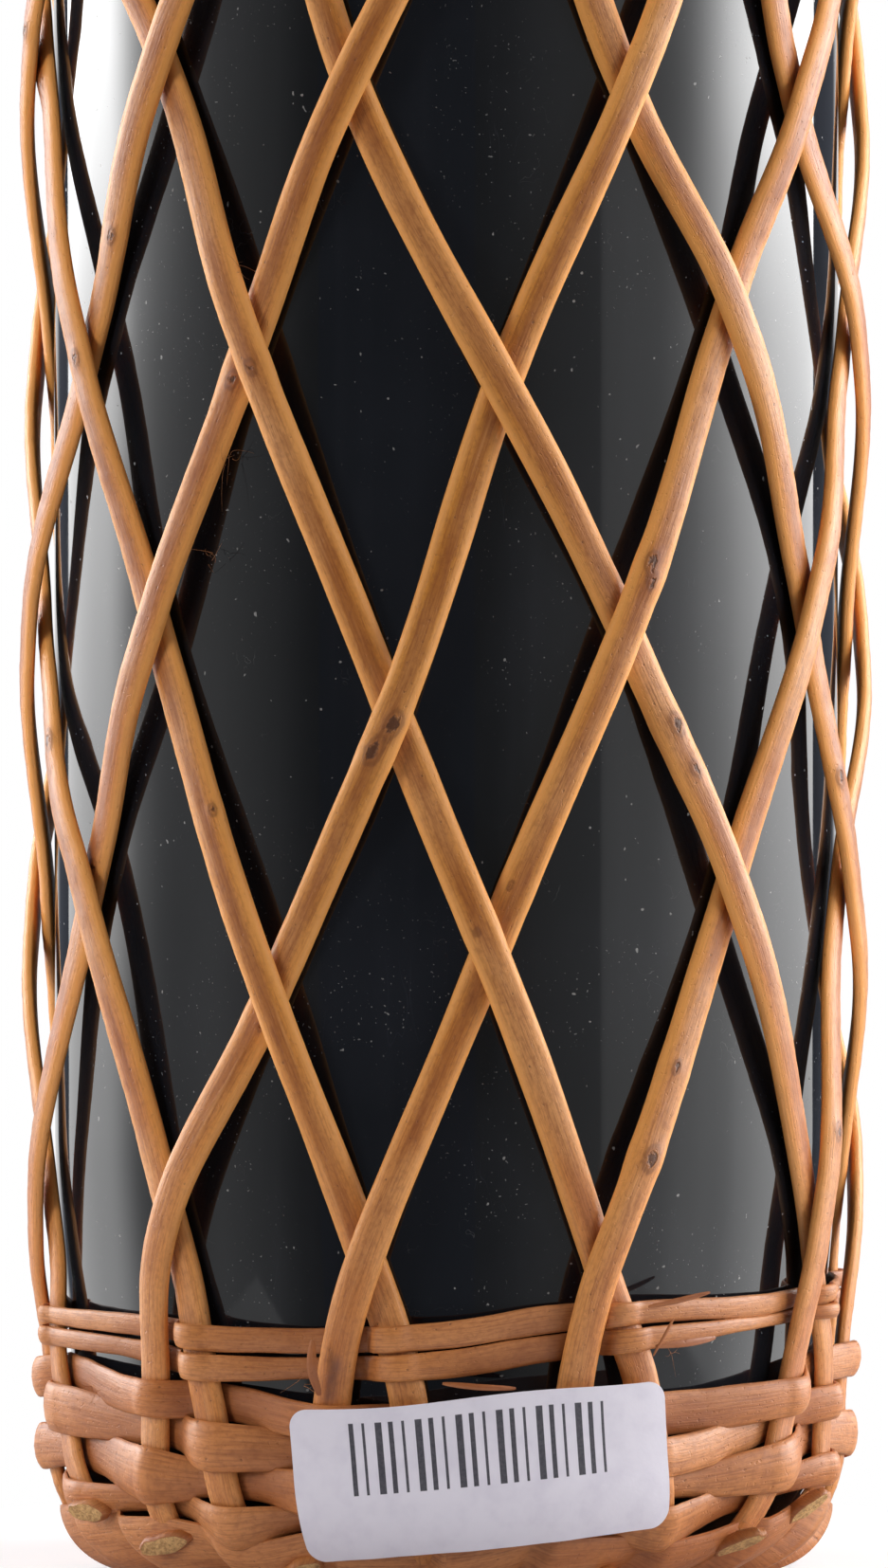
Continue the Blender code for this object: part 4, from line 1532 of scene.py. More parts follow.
@dataclass
class WovenSplit:
    """A flat split woven round the stakes, its ends butted behind one of them.

    It drapes over the rounded backs of one family, where it is at its tallest, and lies on the
    glass behind the other, where it is squeezed. It is pressed flat under the sticker and bowed
    elsewhere.
    """

    node: str
    low: float
    high: float
    in_front: Family
    stakes: Sequence[Stake]
    seed: float
    spans: Spans = field(default_factory=dict)
    edges: Optional[Sequence[Stops]] = None
    behind_share: float = 0.78
    wander: float = 0.0001
    wander_turns: tuple[float, float] = (37.0, 41.0)
    ripple: float = 0.00006
    ripple_turn: float = 19.0
    cup: float = 0.00022
    step: float = 0.6
    section_points: int = 20
    fullness: float = 2.8
    widest: float = 0.45
    drape_share: float = 0.82
    drop_share: float = 0.35
    crown_share: float = 0.35
    ease_share: float = 0.25
    tuck_spread: float = 0.0
    pressed_turn: float = 5.0
    pressed_half: float = 24.0
    pressed_blend: float = 6.0
    end_turn: float = 180.0
    end_gap: float = 0.4
    hue: float = 0.25

    def _span(self, stake: Stake, turn: float) -> tuple[float, float]:
        """Low and high edge where the split passes a stake.

        Args:
            stake: Stake that is passed.
            turn: Turn of the passing.

        Returns:
            Low and high station.
        """
        if self.edges is not None:
            return tuple(float(around(stops, turn)) for stops in self.edges)
        middle, half = (self.low + self.high) / 2.0, (self.high - self.low) / 2.0
        spread = 0.0
        if stake.family is not self.in_front:
            half, spread = half * self.behind_share, self.tuck_spread
        low, high = self.spans.get(stake.key, (middle - half, middle + half))
        return low - spread, high + spread

    def _passing(self, stake: Stake) -> Passing:
        """How the split passes a stake: draped on its back, or flat on the glass behind it.

        Args:
            stake: Stake that is passed.

        Returns:
            The passing.
        """
        first_turn = float(stake.turn_at((self.low + self.high) / 2.0))
        low, high = span = self._span(stake, first_turn)
        middle = (low + high) / 2.0
        turn = float(stake.turn_at(middle))
        radius = SIDE.radius_at(middle, STOCK.stake_level)
        lean = abs(float(stake.turn_at(high) - stake.turn_at(low))) / 2.0
        slope = math.atan2(2.0 * math.radians(lean) * radius, high - low)
        scale = float(stake.scale_at(middle))
        half = STOCK.stake_width * scale / 2.0 / math.cos(slope)
        if stake.family is not self.in_front:
            reach = math.degrees((half + STOCK.gap / 2.0) / radius) + lean
            levels = [(turn - reach, STOCK.gap), (turn + reach, STOCK.gap)]
            return Passing(turn, levels, False, span)
        thickness = STOCK.stake_thickness * scale
        level = float(stake.level_at(np.array([low, high])).max())
        crown = level + thickness + STOCK.gap - self.crown_share * self.cup
        drop = thickness * self.drop_share
        reach = math.degrees(half * self.drape_share / radius) + lean * self.drape_share
        falls = (1.0, self.ease_share, 0.0, self.ease_share, 1.0)
        shares = np.linspace(-1.0, 1.0, len(falls))
        levels = [(turn + share * reach, crown - fall * drop) for share, fall in zip(shares, falls)]
        return Passing(turn, levels, True, span)

    def stops(self) -> tuple[list, list, list]:
        """(turn, level), (turn, low) and (turn, high) stops once round, ends behind one stake.

        Returns:
            Stops of the level, of the low edge and of the high edge.
        """
        passes = sorted(map(self._passing, self.stakes), key=lambda passing: passing.place)
        back = next(
            index
            for index, passing in enumerate(passes)
            if passing.place > self.end_turn and not passing.in_front
        )
        home, *others = passes[back:] + passes[:back]
        start, end = home.place, home.place + FULL_TURN
        before, after = home.levels[0][0] - home.turn, home.levels[-1][0] - home.turn
        levels = [(start + self.end_gap, STOCK.gap), (start + after, STOCK.gap)]
        spans = [(start, home.span)]
        for passing in others:
            place = passing.place + (FULL_TURN if passing.place < start else 0.0)
            levels += [(turn - passing.turn + place, level) for turn, level in passing.levels]
            spans.append((place, passing.span))
        levels += [(end + before, STOCK.gap), (end - self.end_gap, STOCK.gap)]
        spans.append((end, home.span))
        lows, highs = ([(place, span[edge]) for place, span in spans] for edge in (0, 1))
        return levels, lows, highs

    def skin(self) -> Skin:
        """Sweep the split's section round the bottle.

        At each turn the section spans the edges, bowed outwards by cup * (1 - side^2), and
        stands at the level of the weave there.

        Returns:
            The split's closed skin.
        """
        levels, lows, highs = self.stops()
        first, last = levels[0][0], levels[-1][0]
        turn = np.linspace(first, last, int((last - first) / self.step))
        level = steady_through(levels, turn)
        front = (level - STOCK.gap) / (max(value for _, value in levels) - STOCK.gap)
        if self.edges is None:
            low, high = steady_through(lows, turn), steady_through(highs, turn)
        else:
            low, high = (around(stops, turn) for stops in self.edges)
        low = low + self.wander * wave(turn, self.wander_turns[0], self.seed)
        high = high + self.wander * wave(turn, self.wander_turns[1], 2.3 * self.seed)
        middle, half = (low + high) / 2.0, (high - low) / 2.0
        side, height = willow_section(self.section_points, self.fullness, self.widest).T[:, None]
        station = middle[:, None] + half[:, None] * side
        ripple = self.ripple * wave(turn, self.ripple_turn, 3.0 * self.seed)[:, None] * side
        off = np.abs(nearest(turn - self.pressed_turn))
        free = rise(off, self.pressed_half, self.pressed_blend)
        bow = self.cup * ((0.3 + 0.7 * front) * (0.15 + 0.85 * free))[:, None] * (1.0 - side**2)
        depth = level[:, None] + STOCK.split_thickness * height + bow + ripple
        points = SIDE.point(turn[:, None], station, depth)
        return Skin(
            points,
            running_length(SIDE.point(turn, middle, level)) + 0.37 * self.seed,
            closing_lengths(points[len(points) // 2]) + 0.011 * self.seed,
            # Painted light: the split is darker where it lies behind a stake and paler where it
            # passes over one.
            {"hue": self.hue, "flank": (0.14 + 0.38 * front)[:, None]},
        )

    def build(self) -> None:
        """Make the split's piece."""
        build_willow(self.skin(), Slot.SPLIT, self.node)


@dataclass
class BaseWeave:
    """The wide splits woven round the feet, from the top row down."""

    stakes: Sequence[Stake]
    lows: tuple[float, ...] = (0.0158, 0.0114, 0.0076, 0.0036)
    highs: tuple[float, ...] = (0.0196, 0.0160, 0.0128, 0.0084)
    tuck_spread: float = 0.0005
    cup: float = 0.0004

    def build(self) -> None:
        """Make the four rows."""
        for row, (low, high) in enumerate(zip(self.lows, self.highs)):
            family = RIGHT if row % 2 == 0 else LEFT
            WovenSplit(
                f"base_weaver_{row + 1}", low, high, family, self.stakes, 3.0 + 1.3 * row,
                spans=dict(zip(BASE_STAKES, zip(BASE_LOWS[row], BASE_HIGHS[row]))),
                tuck_spread=self.tuck_spread, cup=self.cup,
            ).build()


@dataclass
class BindingBands:
    """The two narrow splits above the base weave, as the maker tied them."""

    stakes: Sequence[Stake]
    low_edge: Stops = (
        (-70.0, 0.0220), (-57.0, 0.0220), (-49.0, 0.0215), (-38.0, 0.0204), (-20.0, 0.0209),
        (0.0, 0.0212), (15.0, 0.0226), (31.0, 0.0237), (54.0, 0.0248), (75.0, 0.0250),
        (180.0, 0.0225),
    )
    middle: Stops = (
        (-74.0, 0.0240), (-49.0, 0.0239), (-38.0, 0.0232), (-20.0, 0.0232), (0.0, 0.0240),
        (15.0, 0.0253), (31.0, 0.0260), (54.0, 0.0260), (75.0, 0.0267), (180.0, 0.0247),
    )
    high_edge: Stops = (
        (-78.0, 0.0259), (-49.0, 0.0262), (-38.0, 0.0259), (-20.0, 0.0258), (0.0, 0.0267),
        (15.0, 0.0281), (31.0, 0.0283), (54.0, 0.0281), (75.0, 0.0284), (180.0, 0.0268),
    )
    slit: Stops = (
        (-74.0, 0.0002), (-58.0, 0.0003), (-49.0, 0.0004), (-42.0, 0.0005), (-35.0, 0.0002),
        (-27.0, 0.0004), (-16.0, 0.0003), (0.0, 0.0001), (20.0, 0.0002), (35.0, 0.0002),
        (48.0, 0.0), (90.0, 0.0002), (180.0, 0.0003),
    )
    first_turn: float = -78.0
    fine_turn: float = 4.0

    def build(self) -> None:
        """Make the two bands with a slit between them."""
        turns = np.arange(self.first_turn, FULL_TURN + self.first_turn, self.fine_turn)
        middle, half = around(self.middle, turns), around(self.slit, turns) / 2.0
        below, above = (list(zip(turns, edge)) for edge in (middle - half, middle + half))
        rows = (
            ("band_split_lower", (self.low_edge, below), 0.0212, 0.0236),
            ("band_split_upper", (above, self.high_edge), 0.0239, 0.0263),
        )
        for index, (node, edges, low, high) in enumerate(rows):
            WovenSplit(
                node, low, high, LEFT, self.stakes, 9.0 + 1.1 * index, edges=edges,
                wander=0.00006, cup=0.0002, drop_share=0.5, hue=0.5,
            ).build()


@dataclass
class Collar:
    """Splits woven round the stakes on the neck."""

    stakes: Sequence[Stake]
    overlap: float = 0.0001

    def build(self) -> None:
        """Make the collar's rows."""
        for row in range(WEAVE.collar_rows):
            low = WEAVE.collar_start + WEAVE.collar_pitch * row - self.overlap
            high = low + WEAVE.collar_height + 2.0 * self.overlap
            family = RIGHT if row % 2 == 0 else LEFT
            WovenSplit(
                f"collar_weaver_{row + 1}", low, high, family, self.stakes, 14.0 + 1.7 * row,
                behind_share=0.7, cup=0.0003, step=1.2,
            ).build()


@dataclass
class CutStubs:
    """Ends of the short stakes, bent out over the border and cut on the slant."""

    stakes: Sequence[Stake]
    length: float = 0.0042
    width: float = 0.0021
    height: float = 0.0006
    station: float = 0.0047
    level: float = 0.0036
    slant: float = 33.0
    slant_spread: float = 14.0
    turn_off: float = 3.0
    face_tilt: float = 0.4
    roughness: float = 0.14
    ring_shares: tuple[float, ...] = (0.85, 1.08, 1.0, 0.9)
    ring_lifts: tuple[float, ...] = (-1.2, -0.2, 0.8, 1.0)
    points: int = 20

    def _stub(self, stake: Stake) -> Skin:
        """Oval plug on the border: rings of one oval, sides rising, top edge drawn in.

        Args:
            stake: Stake whose tip is cut there.

        Returns:
            Surface of the plug.
        """
        turn = float(stake.turn_at(stake.tip)) + self.turn_off
        slant = self.slant + self.slant_spread * math.sin(2.0 * stake.seed)
        plain = (turn, self.station, slant, self.length)
        turn, station, slant, length = FRONT_STUBS.get(stake.key[1], plain)
        centre = SIDE.point(turn, station, self.level)
        out = SIDE.outward(turn, station)
        side = np.array([math.cos(math.radians(turn)), math.sin(math.radians(turn)), 0.0])
        up = np.cross(side, out)
        up = up if up[2] > 0.0 else -up
        slope = math.radians(slant)
        long_way = side * math.cos(slope) + up * math.sin(slope)
        short_way = np.cross(out, long_way)
        angle = np.arange(self.points) * (2.0 * math.pi / self.points)
        rough = 1.0 + self.roughness * wave(angle, 1.3, stake.seed)[None, :, None]
        oval = (
            long_way * (length / 2.0 * np.cos(angle))[:, None]
            + short_way * (self.width / 2.0 * np.sin(angle))[:, None]
        )
        faced = self.face_tilt * math.copysign(1.0, math.sin(math.radians(turn)))
        tilt = faced * (oval[None] @ long_way)[..., None] * out
        scales = np.array(self.ring_shares)[:, None, None]
        lifts = np.array(self.ring_lifts)[:, None, None] * self.height
        points = centre + oval[None] * scales * rough + out * lifts + tilt
        along = np.arange(len(points)) * self.height + turn
        return Skin(points, along, closing_lengths(points[1]), {"hue": 0.3})

    def build(self) -> None:
        """Make the plugs."""
        for stake in self.stakes:
            if stake.family is RIGHT:
                name = f"cut_stub_{stake.column + 1:02d}"
                build_willow(self._stub(stake), Slot.STAKE, name, stands_in=False)


# Turn, station, slant and length of the front's cut ends
FRONT_STUBS = {
    -2: (-62.3, 0.0069, -14.0, 0.0040), -1: (-45.7, 0.0043, 0.0, 0.0052),
    0: (-22.5, 0.0019, 8.0, 0.0040), 1: (25.5, 0.0008, 26.0, 0.0038),
    2: (48.5, 0.0042, 58.0, 0.0050), 3: (62.8, 0.0073, 60.0, 0.0044),
}


@dataclass
class Sliver:
    """A thin splinter that lifts off the work: a flat sweep that narrows to both ends."""

    name: str
    width: float
    stops: Sequence[Place]
    thickness: float = 0.00018
    samples: int = 28
    blunt: float = 0.35
    hue: float = 0.2

    def build(self) -> None:
        """Sweep an oval along (turn, station, level) stops, width * sin(pi * share)^blunt."""
        share = np.linspace(0.0, 1.0, self.samples)
        places = np.linspace(0.0, 1.0, len(self.stops))
        line, _, across, out = path_on_side(
            *(curve_through(list(zip(places, values)), share) for values in zip(*self.stops))
        )
        angle = np.arange(8) * (math.pi / 4.0)
        half = np.sin(math.pi * (0.02 + 0.96 * share))[:, None] ** self.blunt / 2.0
        points = swept(
            line,
            (across, self.width * half * np.cos(angle)),
            (out, self.thickness * half * np.sin(angle)),
        )
        skin = Skin(points, running_length(line), closing_lengths(points[5]), {"hue": self.hue})
        build_willow(skin, Slot.SPLIT, self.name, stands_in=False)


# Slivers that stand off the bands and the tucked end of a split: name, width and stops
SLIVERS = (
    (
        "sliver_over_band", 0.00055,
        [(28.0, 0.0279, 0.0038), (32.0, 0.0284, 0.0043), (36.5, 0.0291, 0.0050)],
    ),
    (
        "sliver_upright", 0.00035,
        [(31.0, 0.0268, 0.0050), (30.1, 0.0252, 0.0046), (28.8, 0.0232, 0.0042)],
    ),
    (
        "sliver_loose", 0.0006,
        [(-0.5, 0.0209, 0.0034), (4.5, 0.0206, 0.0040), (9.5, 0.0204, 0.0036)],
    ),
    (
        "tucked_end", 0.0010,
        [(-17.9, 0.0250, 0.0044), (-18.0, 0.0222, 0.0046), (-17.6, 0.0196, 0.0034)],
    ),
    (
        "torn_strand", 0.0007,
        [(29.0, 0.0241, 0.0042), (34.0, 0.0243, 0.0044), (39.0, 0.0246, 0.0040)],
    ),
)


@dataclass
class Hairs:
    """Fine torn fibres that curl off the willow, gathered in tufts."""

    seed: int = 11
    per_tuft: int = 6
    spread: Place = (0.5, 0.0004, 0.0001)
    shortest: float = 0.0008
    longest: float = 0.0024
    outward: float = 0.2
    curl: float = 0.6
    radius: float = 0.000028
    taper: float = 0.75
    points: int = 9
    limit: float = 0.0413

    def build(self) -> None:
        """Make all hairs as one mesh of thin four-sided tubes.

        A hair leaves its root along a random direction and bends: root + way * length * share +
        bend * length * share^2. It is kept inside the jacket's radius.
        """
        random = np.random.default_rng(self.seed)
        roots = np.repeat(np.array(TUFTS), self.per_tuft, axis=0)
        roots = roots + random.normal(0.0, 1.0, roots.shape) * self.spread
        turn, station, level = roots.T
        start = SIDE.point(turn, station, level)
        out = SIDE.outward(turn, station)
        way = unit(random.normal(0.0, 1.0, out.shape) + self.outward * out)
        bend = random.normal(0.0, self.curl, out.shape)
        length = random.uniform(self.shortest, self.longest, len(roots))[:, None, None]
        share = np.linspace(0.0, 1.0, self.points)[None, :, None]
        line = start[:, None] + length * (way[:, None] * share + bend[:, None] * share**2)
        reach = np.linalg.norm(line[..., :2], axis=-1, keepdims=True)
        line[..., :2] *= np.minimum(1.0, self.limit / reach)
        tangent = unit(np.gradient(line, axis=1))
        side = unit(np.cross(tangent, out[:, None] + 0.01))
        other = np.cross(side, tangent)
        angle = np.arange(4)[:, None] * (math.pi / 2.0)
        ring = side[:, :, None] * np.cos(angle) + other[:, :, None] * np.sin(angle)
        radius = self.radius * (1.0 - self.taper * share[..., None])
        self._join(line[:, :, None] + radius * ring)

    def _join(self, points: Array) -> None:
        """Join the rings of each hair with quads and close both ends.

        Args:
            points: Points by hair, ring, corner and axis.
        """
        index = np.arange(points[..., 0].size).reshape(points.shape[:3])
        far = np.roll(index, -1, axis=2)
        quads = np.stack([index[:, :-1], index[:, 1:], far[:, 1:], far[:, :-1]], axis=-1)
        caps = np.concatenate([index[:, 0], index[:, -1, ::-1]])
        mesh = bpy.data.meshes.new("torn_fibres")
        faces = np.concatenate([quads.reshape(-1, 4), caps])
        mesh.from_pydata(points.reshape(-1, 3), [], faces)
        mesh.uv_layers.new(name="grain")
        carry(mesh, "hue", np.full(len(mesh.vertices), 0.4))
        mesh.shade_smooth()
        Piece(mesh, (STAKE_WILLOW,), Slot.STAKE).build()


# Turn, station and level of each tuft of torn fibres
TUFTS = (
    (-29.0, 0.1262, 0.0026), (-31.5, 0.1085, 0.0014), (-34.5, 0.0990, 0.0014),
    (-20.0, 0.0212, 0.0036), (31.0, 0.0240, 0.0040), (47.0, 0.0060, 0.0036),
    (-59.0, 0.0190, 0.0030), (-58.0, 0.0062, 0.0030), (61.0, 0.0140, 0.0030),
)


# Station of the border's upper edge at the front's stakes
FRONT_BORDER = {
    (LEFT, -2): 0.0061, (RIGHT, -1): 0.0064, (LEFT, -1): 0.0043, (LEFT, 1): 0.0045,
    (RIGHT, 2): 0.0056, (LEFT, 2): 0.0080,
}


@dataclass
class Border:
    """Border that the bottle stands on: strips turned under, each lapping the next.

    The strips lean away from the front's middle as they rise.
    """

    stakes: Sequence[Stake]
    inner_radius: float = 0.0270
    foot_reach: float = 0.00253
    gap: float = 0.0003
    step: float = 0.5
    front_top: float = 0.0054
    behind_top: float = 0.0040
    crown: float = 0.0013
    sink: float = 0.0004
    inset: float = 0.0002
    strips: int = 20
    strip_stray: float = 1.6
    stray_waves: int = 5
    lap: float = 0.0011
    drop: float = 0.2
    slope: float = 16.0
    under_angle: float = 80.0
    outer_rows: int = 22
    inner_rows: int = 7

    def _tops(self, turn: Array) -> Array:
        """Station of the upper edge at each turn, highest over the short tips.

        Args:
            turn: Turns.

        Returns:
            Station at each turn.
        """
        stops = []
        for stake in self.stakes:
            plain = self.front_top if stake.family is RIGHT else self.behind_top
            place = float(stake.turn_at(stake.tip)) % FULL_TURN
            stops.append((place, FRONT_BORDER.get(stake.key, plain)))
        stops.sort()
        stops = [(stops[-1][0] - FULL_TURN, stops[-1][1]), *stops]
        stops.append((stops[1][0] + FULL_TURN, stops[1][1]))
        return steady_through(stops, turn)

    def _depths(self, place: Array, share: Array) -> Array:
        """Depth outside the glass: strips that lap like shingles.

        Depth is proud - lap * g, where g rises as f^1.5 over most of a strip and falls back
        smoothly, with f the fraction of place / pitch. It falls off near the foot so that the
        outline stays smooth.

        Args:
            place: Turn of each point.
            share: Share of the way up.

        Returns:
            Depth of each point.
        """
        proud = STOCK.front_level + STOCK.split_thickness
        place = place + self.strip_stray * np.sin(np.radians(self.stray_waves * place))
        part = place / (FULL_TURN / self.strips) % 1.0
        rising = (part / (1.0 - self.drop)) ** 1.5
        falling = 1.0 - rise(part, 1.0 - self.drop, self.drop)
        lapped = np.where(part < 1.0 - self.drop, rising, falling)
        return proud - self.inset - self.lap * lapped * smooth_step(share * 4.0)

    def build(self) -> None:
        """Make the border as a looped skin: flat foot, rounded outside, snug to the heel."""
        turn = np.arange(0.0, FULL_TURN, self.step)
        share = np.linspace(0.0, 1.0, self.outer_rows)[None, :]
        depth = self._depths(turn[:, None], share)
        top = ((SIDE.heel_height - self._tops(turn)) / SIDE.heel_unroll)[:, None]
        low = math.radians(self.under_angle)
        outside = low + (top - low) * share
        crown = self.crown * np.sin(math.pi * share) ** 0.8 * (depth / depth.max())
        outer = SIDE.heel_radius + depth - self.sink + crown
        back = np.linspace(0.0, 1.0, self.inner_rows)[None, :]
        inside = top + (math.pi / 2.0 - top) * back
        inner = SIDE.heel_radius + depth[:, -1:] - STOCK.split_thickness
        inner = inner + (SIDE.heel_radius + 2.0 * self.gap - inner) * smooth_step(back * 1.6)
        centre, height = SIDE.heel_centre_radius, SIDE.heel_height
        foot = np.broadcast_to([self.inner_radius, centre + self.foot_reach], (len(turn), 2))
        outer_side = centre + outer * np.cos(outside), height - outer * np.sin(outside)
        inner_side = centre + inner * np.cos(inside), height - inner * np.sin(inside)
        radius = np.concatenate([foot, outer_side[0], inner_side[0]], axis=1)
        levels = [foot * 0.0, np.maximum(outer_side[1], 0.0), inner_side[1]]
        radius[:, -1] = self.inner_radius
        down = np.concatenate([[1.0, 1.0], 1.0 - share[0], np.zeros(self.inner_rows)])[None, :]
        angle = np.radians(turn)[:, None]
        angle = angle - np.radians(self.slope) * np.sin(angle) * smooth_step(down)
        points = about_axis(radius, angle, np.concatenate(levels, axis=1))
        lengths = running_length(points[:, 12]), closing_lengths(points[0])
        # A fixed share of painted shade darkens the whole border.
        skin = Skin(points, *lengths, {"hue": 0.2, "flank": 0.3}, looped=True)
        build_willow(skin, Slot.SPLIT, "base_border")


@dataclass
class Underside:
    """Sticks crossed under the punt and the flat rounds woven on them."""

    stick_radius: float = 0.0006
    stick_count: int = 4
    round_count: int = 3
    round_thickness: float = 0.0004
    round_width: float = 0.0036
    round_pitch: float = 0.0041
    round_outer: float = 0.0262
    round_end: float = 0.5
    floor_gap: float = 0.0003
    gap: float = 0.0003
    slath_radius: float = 0.0110
    reach: float = 0.0267

    def _stick(self, stick: int) -> Skin:
        """A thin round stick that rises over those below it at the middle.

        Args:
            stick: Number of the stick, 0 the lowest.

        Returns:
            Surface of the stick.
        """
        distance = np.linspace(-self.reach, self.reach, 90)
        storey = 2.0 * self.stick_radius + self.gap
        low = self.floor_gap + self.round_thickness + self.gap + self.stick_radius
        lift = stick * storey * (1.0 - rise(np.abs(distance), 0.0, self.slath_radius))
        angle = math.pi * (stick + 0.5) / self.stick_count
        line = np.stack([distance * math.cos(angle), distance * math.sin(angle), low + lift], -1)
        across = np.broadcast_to([-math.sin(angle), math.cos(angle), 0.0], line.shape)
        up = np.cross(unit(np.gradient(line, axis=0)), across)
        turn = np.arange(12) * (math.pi / 6.0)
        radius = self.stick_radius * (1.0 + 0.05 * wave(distance, 0.013, stick + 1.0))[:, None]
        points = swept(line, (across, radius * np.cos(turn)), (up, radius * np.sin(turn)))
        return Skin(points, running_length(line) + stick, closing_lengths(points[9]), {"hue": 0.3})

    def _round(self, index: int) -> Skin:
        """A flat split that passes under one arm of the sticks and over the next.

        Args:
            index: Number of the round, 0 the outermost.

        Returns:
            Surface of the round.
        """
        arms = 2 * self.stick_count
        arm_turn = FULL_TURN / arms
        outer = self.round_outer - self.round_pitch * index
        inner = outer - self.round_width
        below = self.floor_gap
        above = below + self.round_thickness + 2.0 * (self.gap + self.stick_radius)
        half = math.degrees((self.stick_radius + self.gap) / inner)
        stops = []
        for arm in range(arms + 1):
            turn = arm_turn * (arm + 0.5)
            height = below if (arm % arms + index) % 2 == 0 else above
            stops += [(turn - half, height), (turn + half, height)]
        stops[0] = (arm_turn / 2.0 + self.round_end, stops[0][1])
        stops[-1] = (arm_turn / 2.0 + FULL_TURN - self.round_end, stops[-1][1])
        turn = np.linspace(stops[0][0], stops[-1][0], 360)
        across, thick = willow_section(14, 3.0, 0.5).T[:, None]
        radius = (inner + outer) / 2.0 + self.round_width / 2.0 * across
        height = steady_through(stops, turn)[:, None] + self.round_thickness * thick
        points = about_axis(radius, np.radians(turn)[:, None], height)
        along = running_length(points.mean(axis=1)) + index
        return Skin(points, along, closing_lengths(points[9]), {"hue": 0.15 * index})

    def build(self) -> None:
        """Make the sticks and rounds."""
        for stick in range(self.stick_count):
            build_willow(self._stick(stick), Slot.STAKE, f"base_stick_{stick + 1}")
        for index in range(self.round_count):
            build_willow(self._round(index), Slot.SPLIT, f"base_round_{index + 1}")


def turned_mesh(name: str, profile: Array, steps: int) -> bpy.types.Mesh:
    """Closed solid turned from a half section that starts and ends on the axis.

    Args:
        name: Name of the mesh.
        profile: Radius and height of each point, the first and last on the axis.
        steps: Faces round the axis.

    Returns:
        The mesh, with its map "grain" in metres round and up.
    """
    angle = np.arange(steps + 1) * (2.0 * math.pi / steps)
    inner = profile[1:-1]
    points = about_axis(inner[:, :1], angle[None, :-1], inner[:, 1:])
    mesh = one_material(Skin(points, running_length(inner), angle * inner[:, 0].max()).mesh(name))
    for vertex, end in zip(mesh.vertices[len(inner) * steps:], (0, -1)):
        vertex.co.z = profile[end, 1]
    return mesh


def arc(centre: tuple[float, float], radius: float, first: float, last: float, steps: int) -> Array:
    """Points on an arc of the half section, angles in degrees from +X."""
    angle = np.radians(np.linspace(first, last, steps + 1))
    return np.stack([centre[0] + radius * np.cos(angle), centre[1] + radius * np.sin(angle)], -1)


@dataclass
class GlassBottle:
    """Hollow bottle: punt, heel, tapered body, shoulder, neck, mouth ring and open bore."""

    wall: float = 0.0030
    punt_rise: float = 0.0130
    bore_radius: float = 0.0096
    ring_radius: float = 0.0149
    ring_height: float = 0.0080
    lip_height: float = 0.0030
    lip_round: float = 0.0010
    ease: float = 0.0002
    joint: float = 0.0005
    punt_share: float = 0.94
    punt_rows: int = 26
    side_rows: int = 130
    heel_end: float = -80.0
    heel_rows: int = 14
    lip_rows: int = 6
    steps: int = 256

    def _side_points(self, offset: float) -> Array:
        """Outside from heel to neck, moved in by an offset.

        Args:
            offset: Distance inwards from the outside.

        Returns:
            (radius, height) of each point.
        """
        ends = SIDE.heel_height + self.joint, SIDE.neck_station - self.joint
        radius, height, out, up = SIDE.section(np.linspace(*ends, self.side_rows))
        return np.stack([radius - offset * out, height - offset * up], -1)

    def _punt(self, height: float) -> Array:
        """Dome under the bottle, from the axis out: rise * (1 - share^2).

        Args:
            height: Height of the dome's foot.

        Returns:
            (radius, height) of each point, from the middle outwards.
        """
        share = np.linspace(0.0, self.punt_share, self.punt_rows)
        edge = SIDE.heel_centre_radius
        return np.stack([edge * share, height + self.punt_rise * (1.0 - share**2)], -1)

    def build(self) -> None:
        """Turn the profile: up the inside, over the lip and down the outside."""
        centre = (SIDE.heel_centre_radius, SIDE.heel_height)
        inner_heel = SIDE.heel_radius - self.wall
        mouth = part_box("glass_bottle")[1].z
        ring_top = mouth - self.lip_height
        ring_low = ring_top - self.ring_height
        neck, bore, lip = SIDE.neck_radius, self.bore_radius, self.lip_round
        ring = self.ring_radius - lip
        inside = self._side_points(self.wall)
        profile = np.concatenate(
            [
                self._punt(SIDE.heel_height - inner_heel),
                arc(centre, inner_heel, self.heel_end, 0.0, self.heel_rows),
                inside[inside[:, 0] > bore + self.ease],
                [(bore, SIDE.neck_start_height), (bore, mouth - lip / 2.0)],
                arc((neck - lip, mouth - lip), lip, 90.0, 0.0, self.lip_rows),
                [(neck, ring_top + self.ease)],
                arc((ring, ring_top - lip), lip, 80.0, 0.0, self.lip_rows),
                arc((ring, ring_low + lip), lip, 0.0, -70.0, self.lip_rows),
                [(neck, ring_low - self.ease)],
                self._side_points(0.0)[::-1],
                arc(centre, SIDE.heel_radius, 0.0, self.heel_end, self.heel_rows),
                self._punt(SIDE.base_depth)[::-1],
            ]
        )
        mesh = turned_mesh("bottle_glass", profile, self.steps)
        Piece(mesh, (BLACK_GLASS,), Slot.GLASS, ("glass_bottle",)).build()


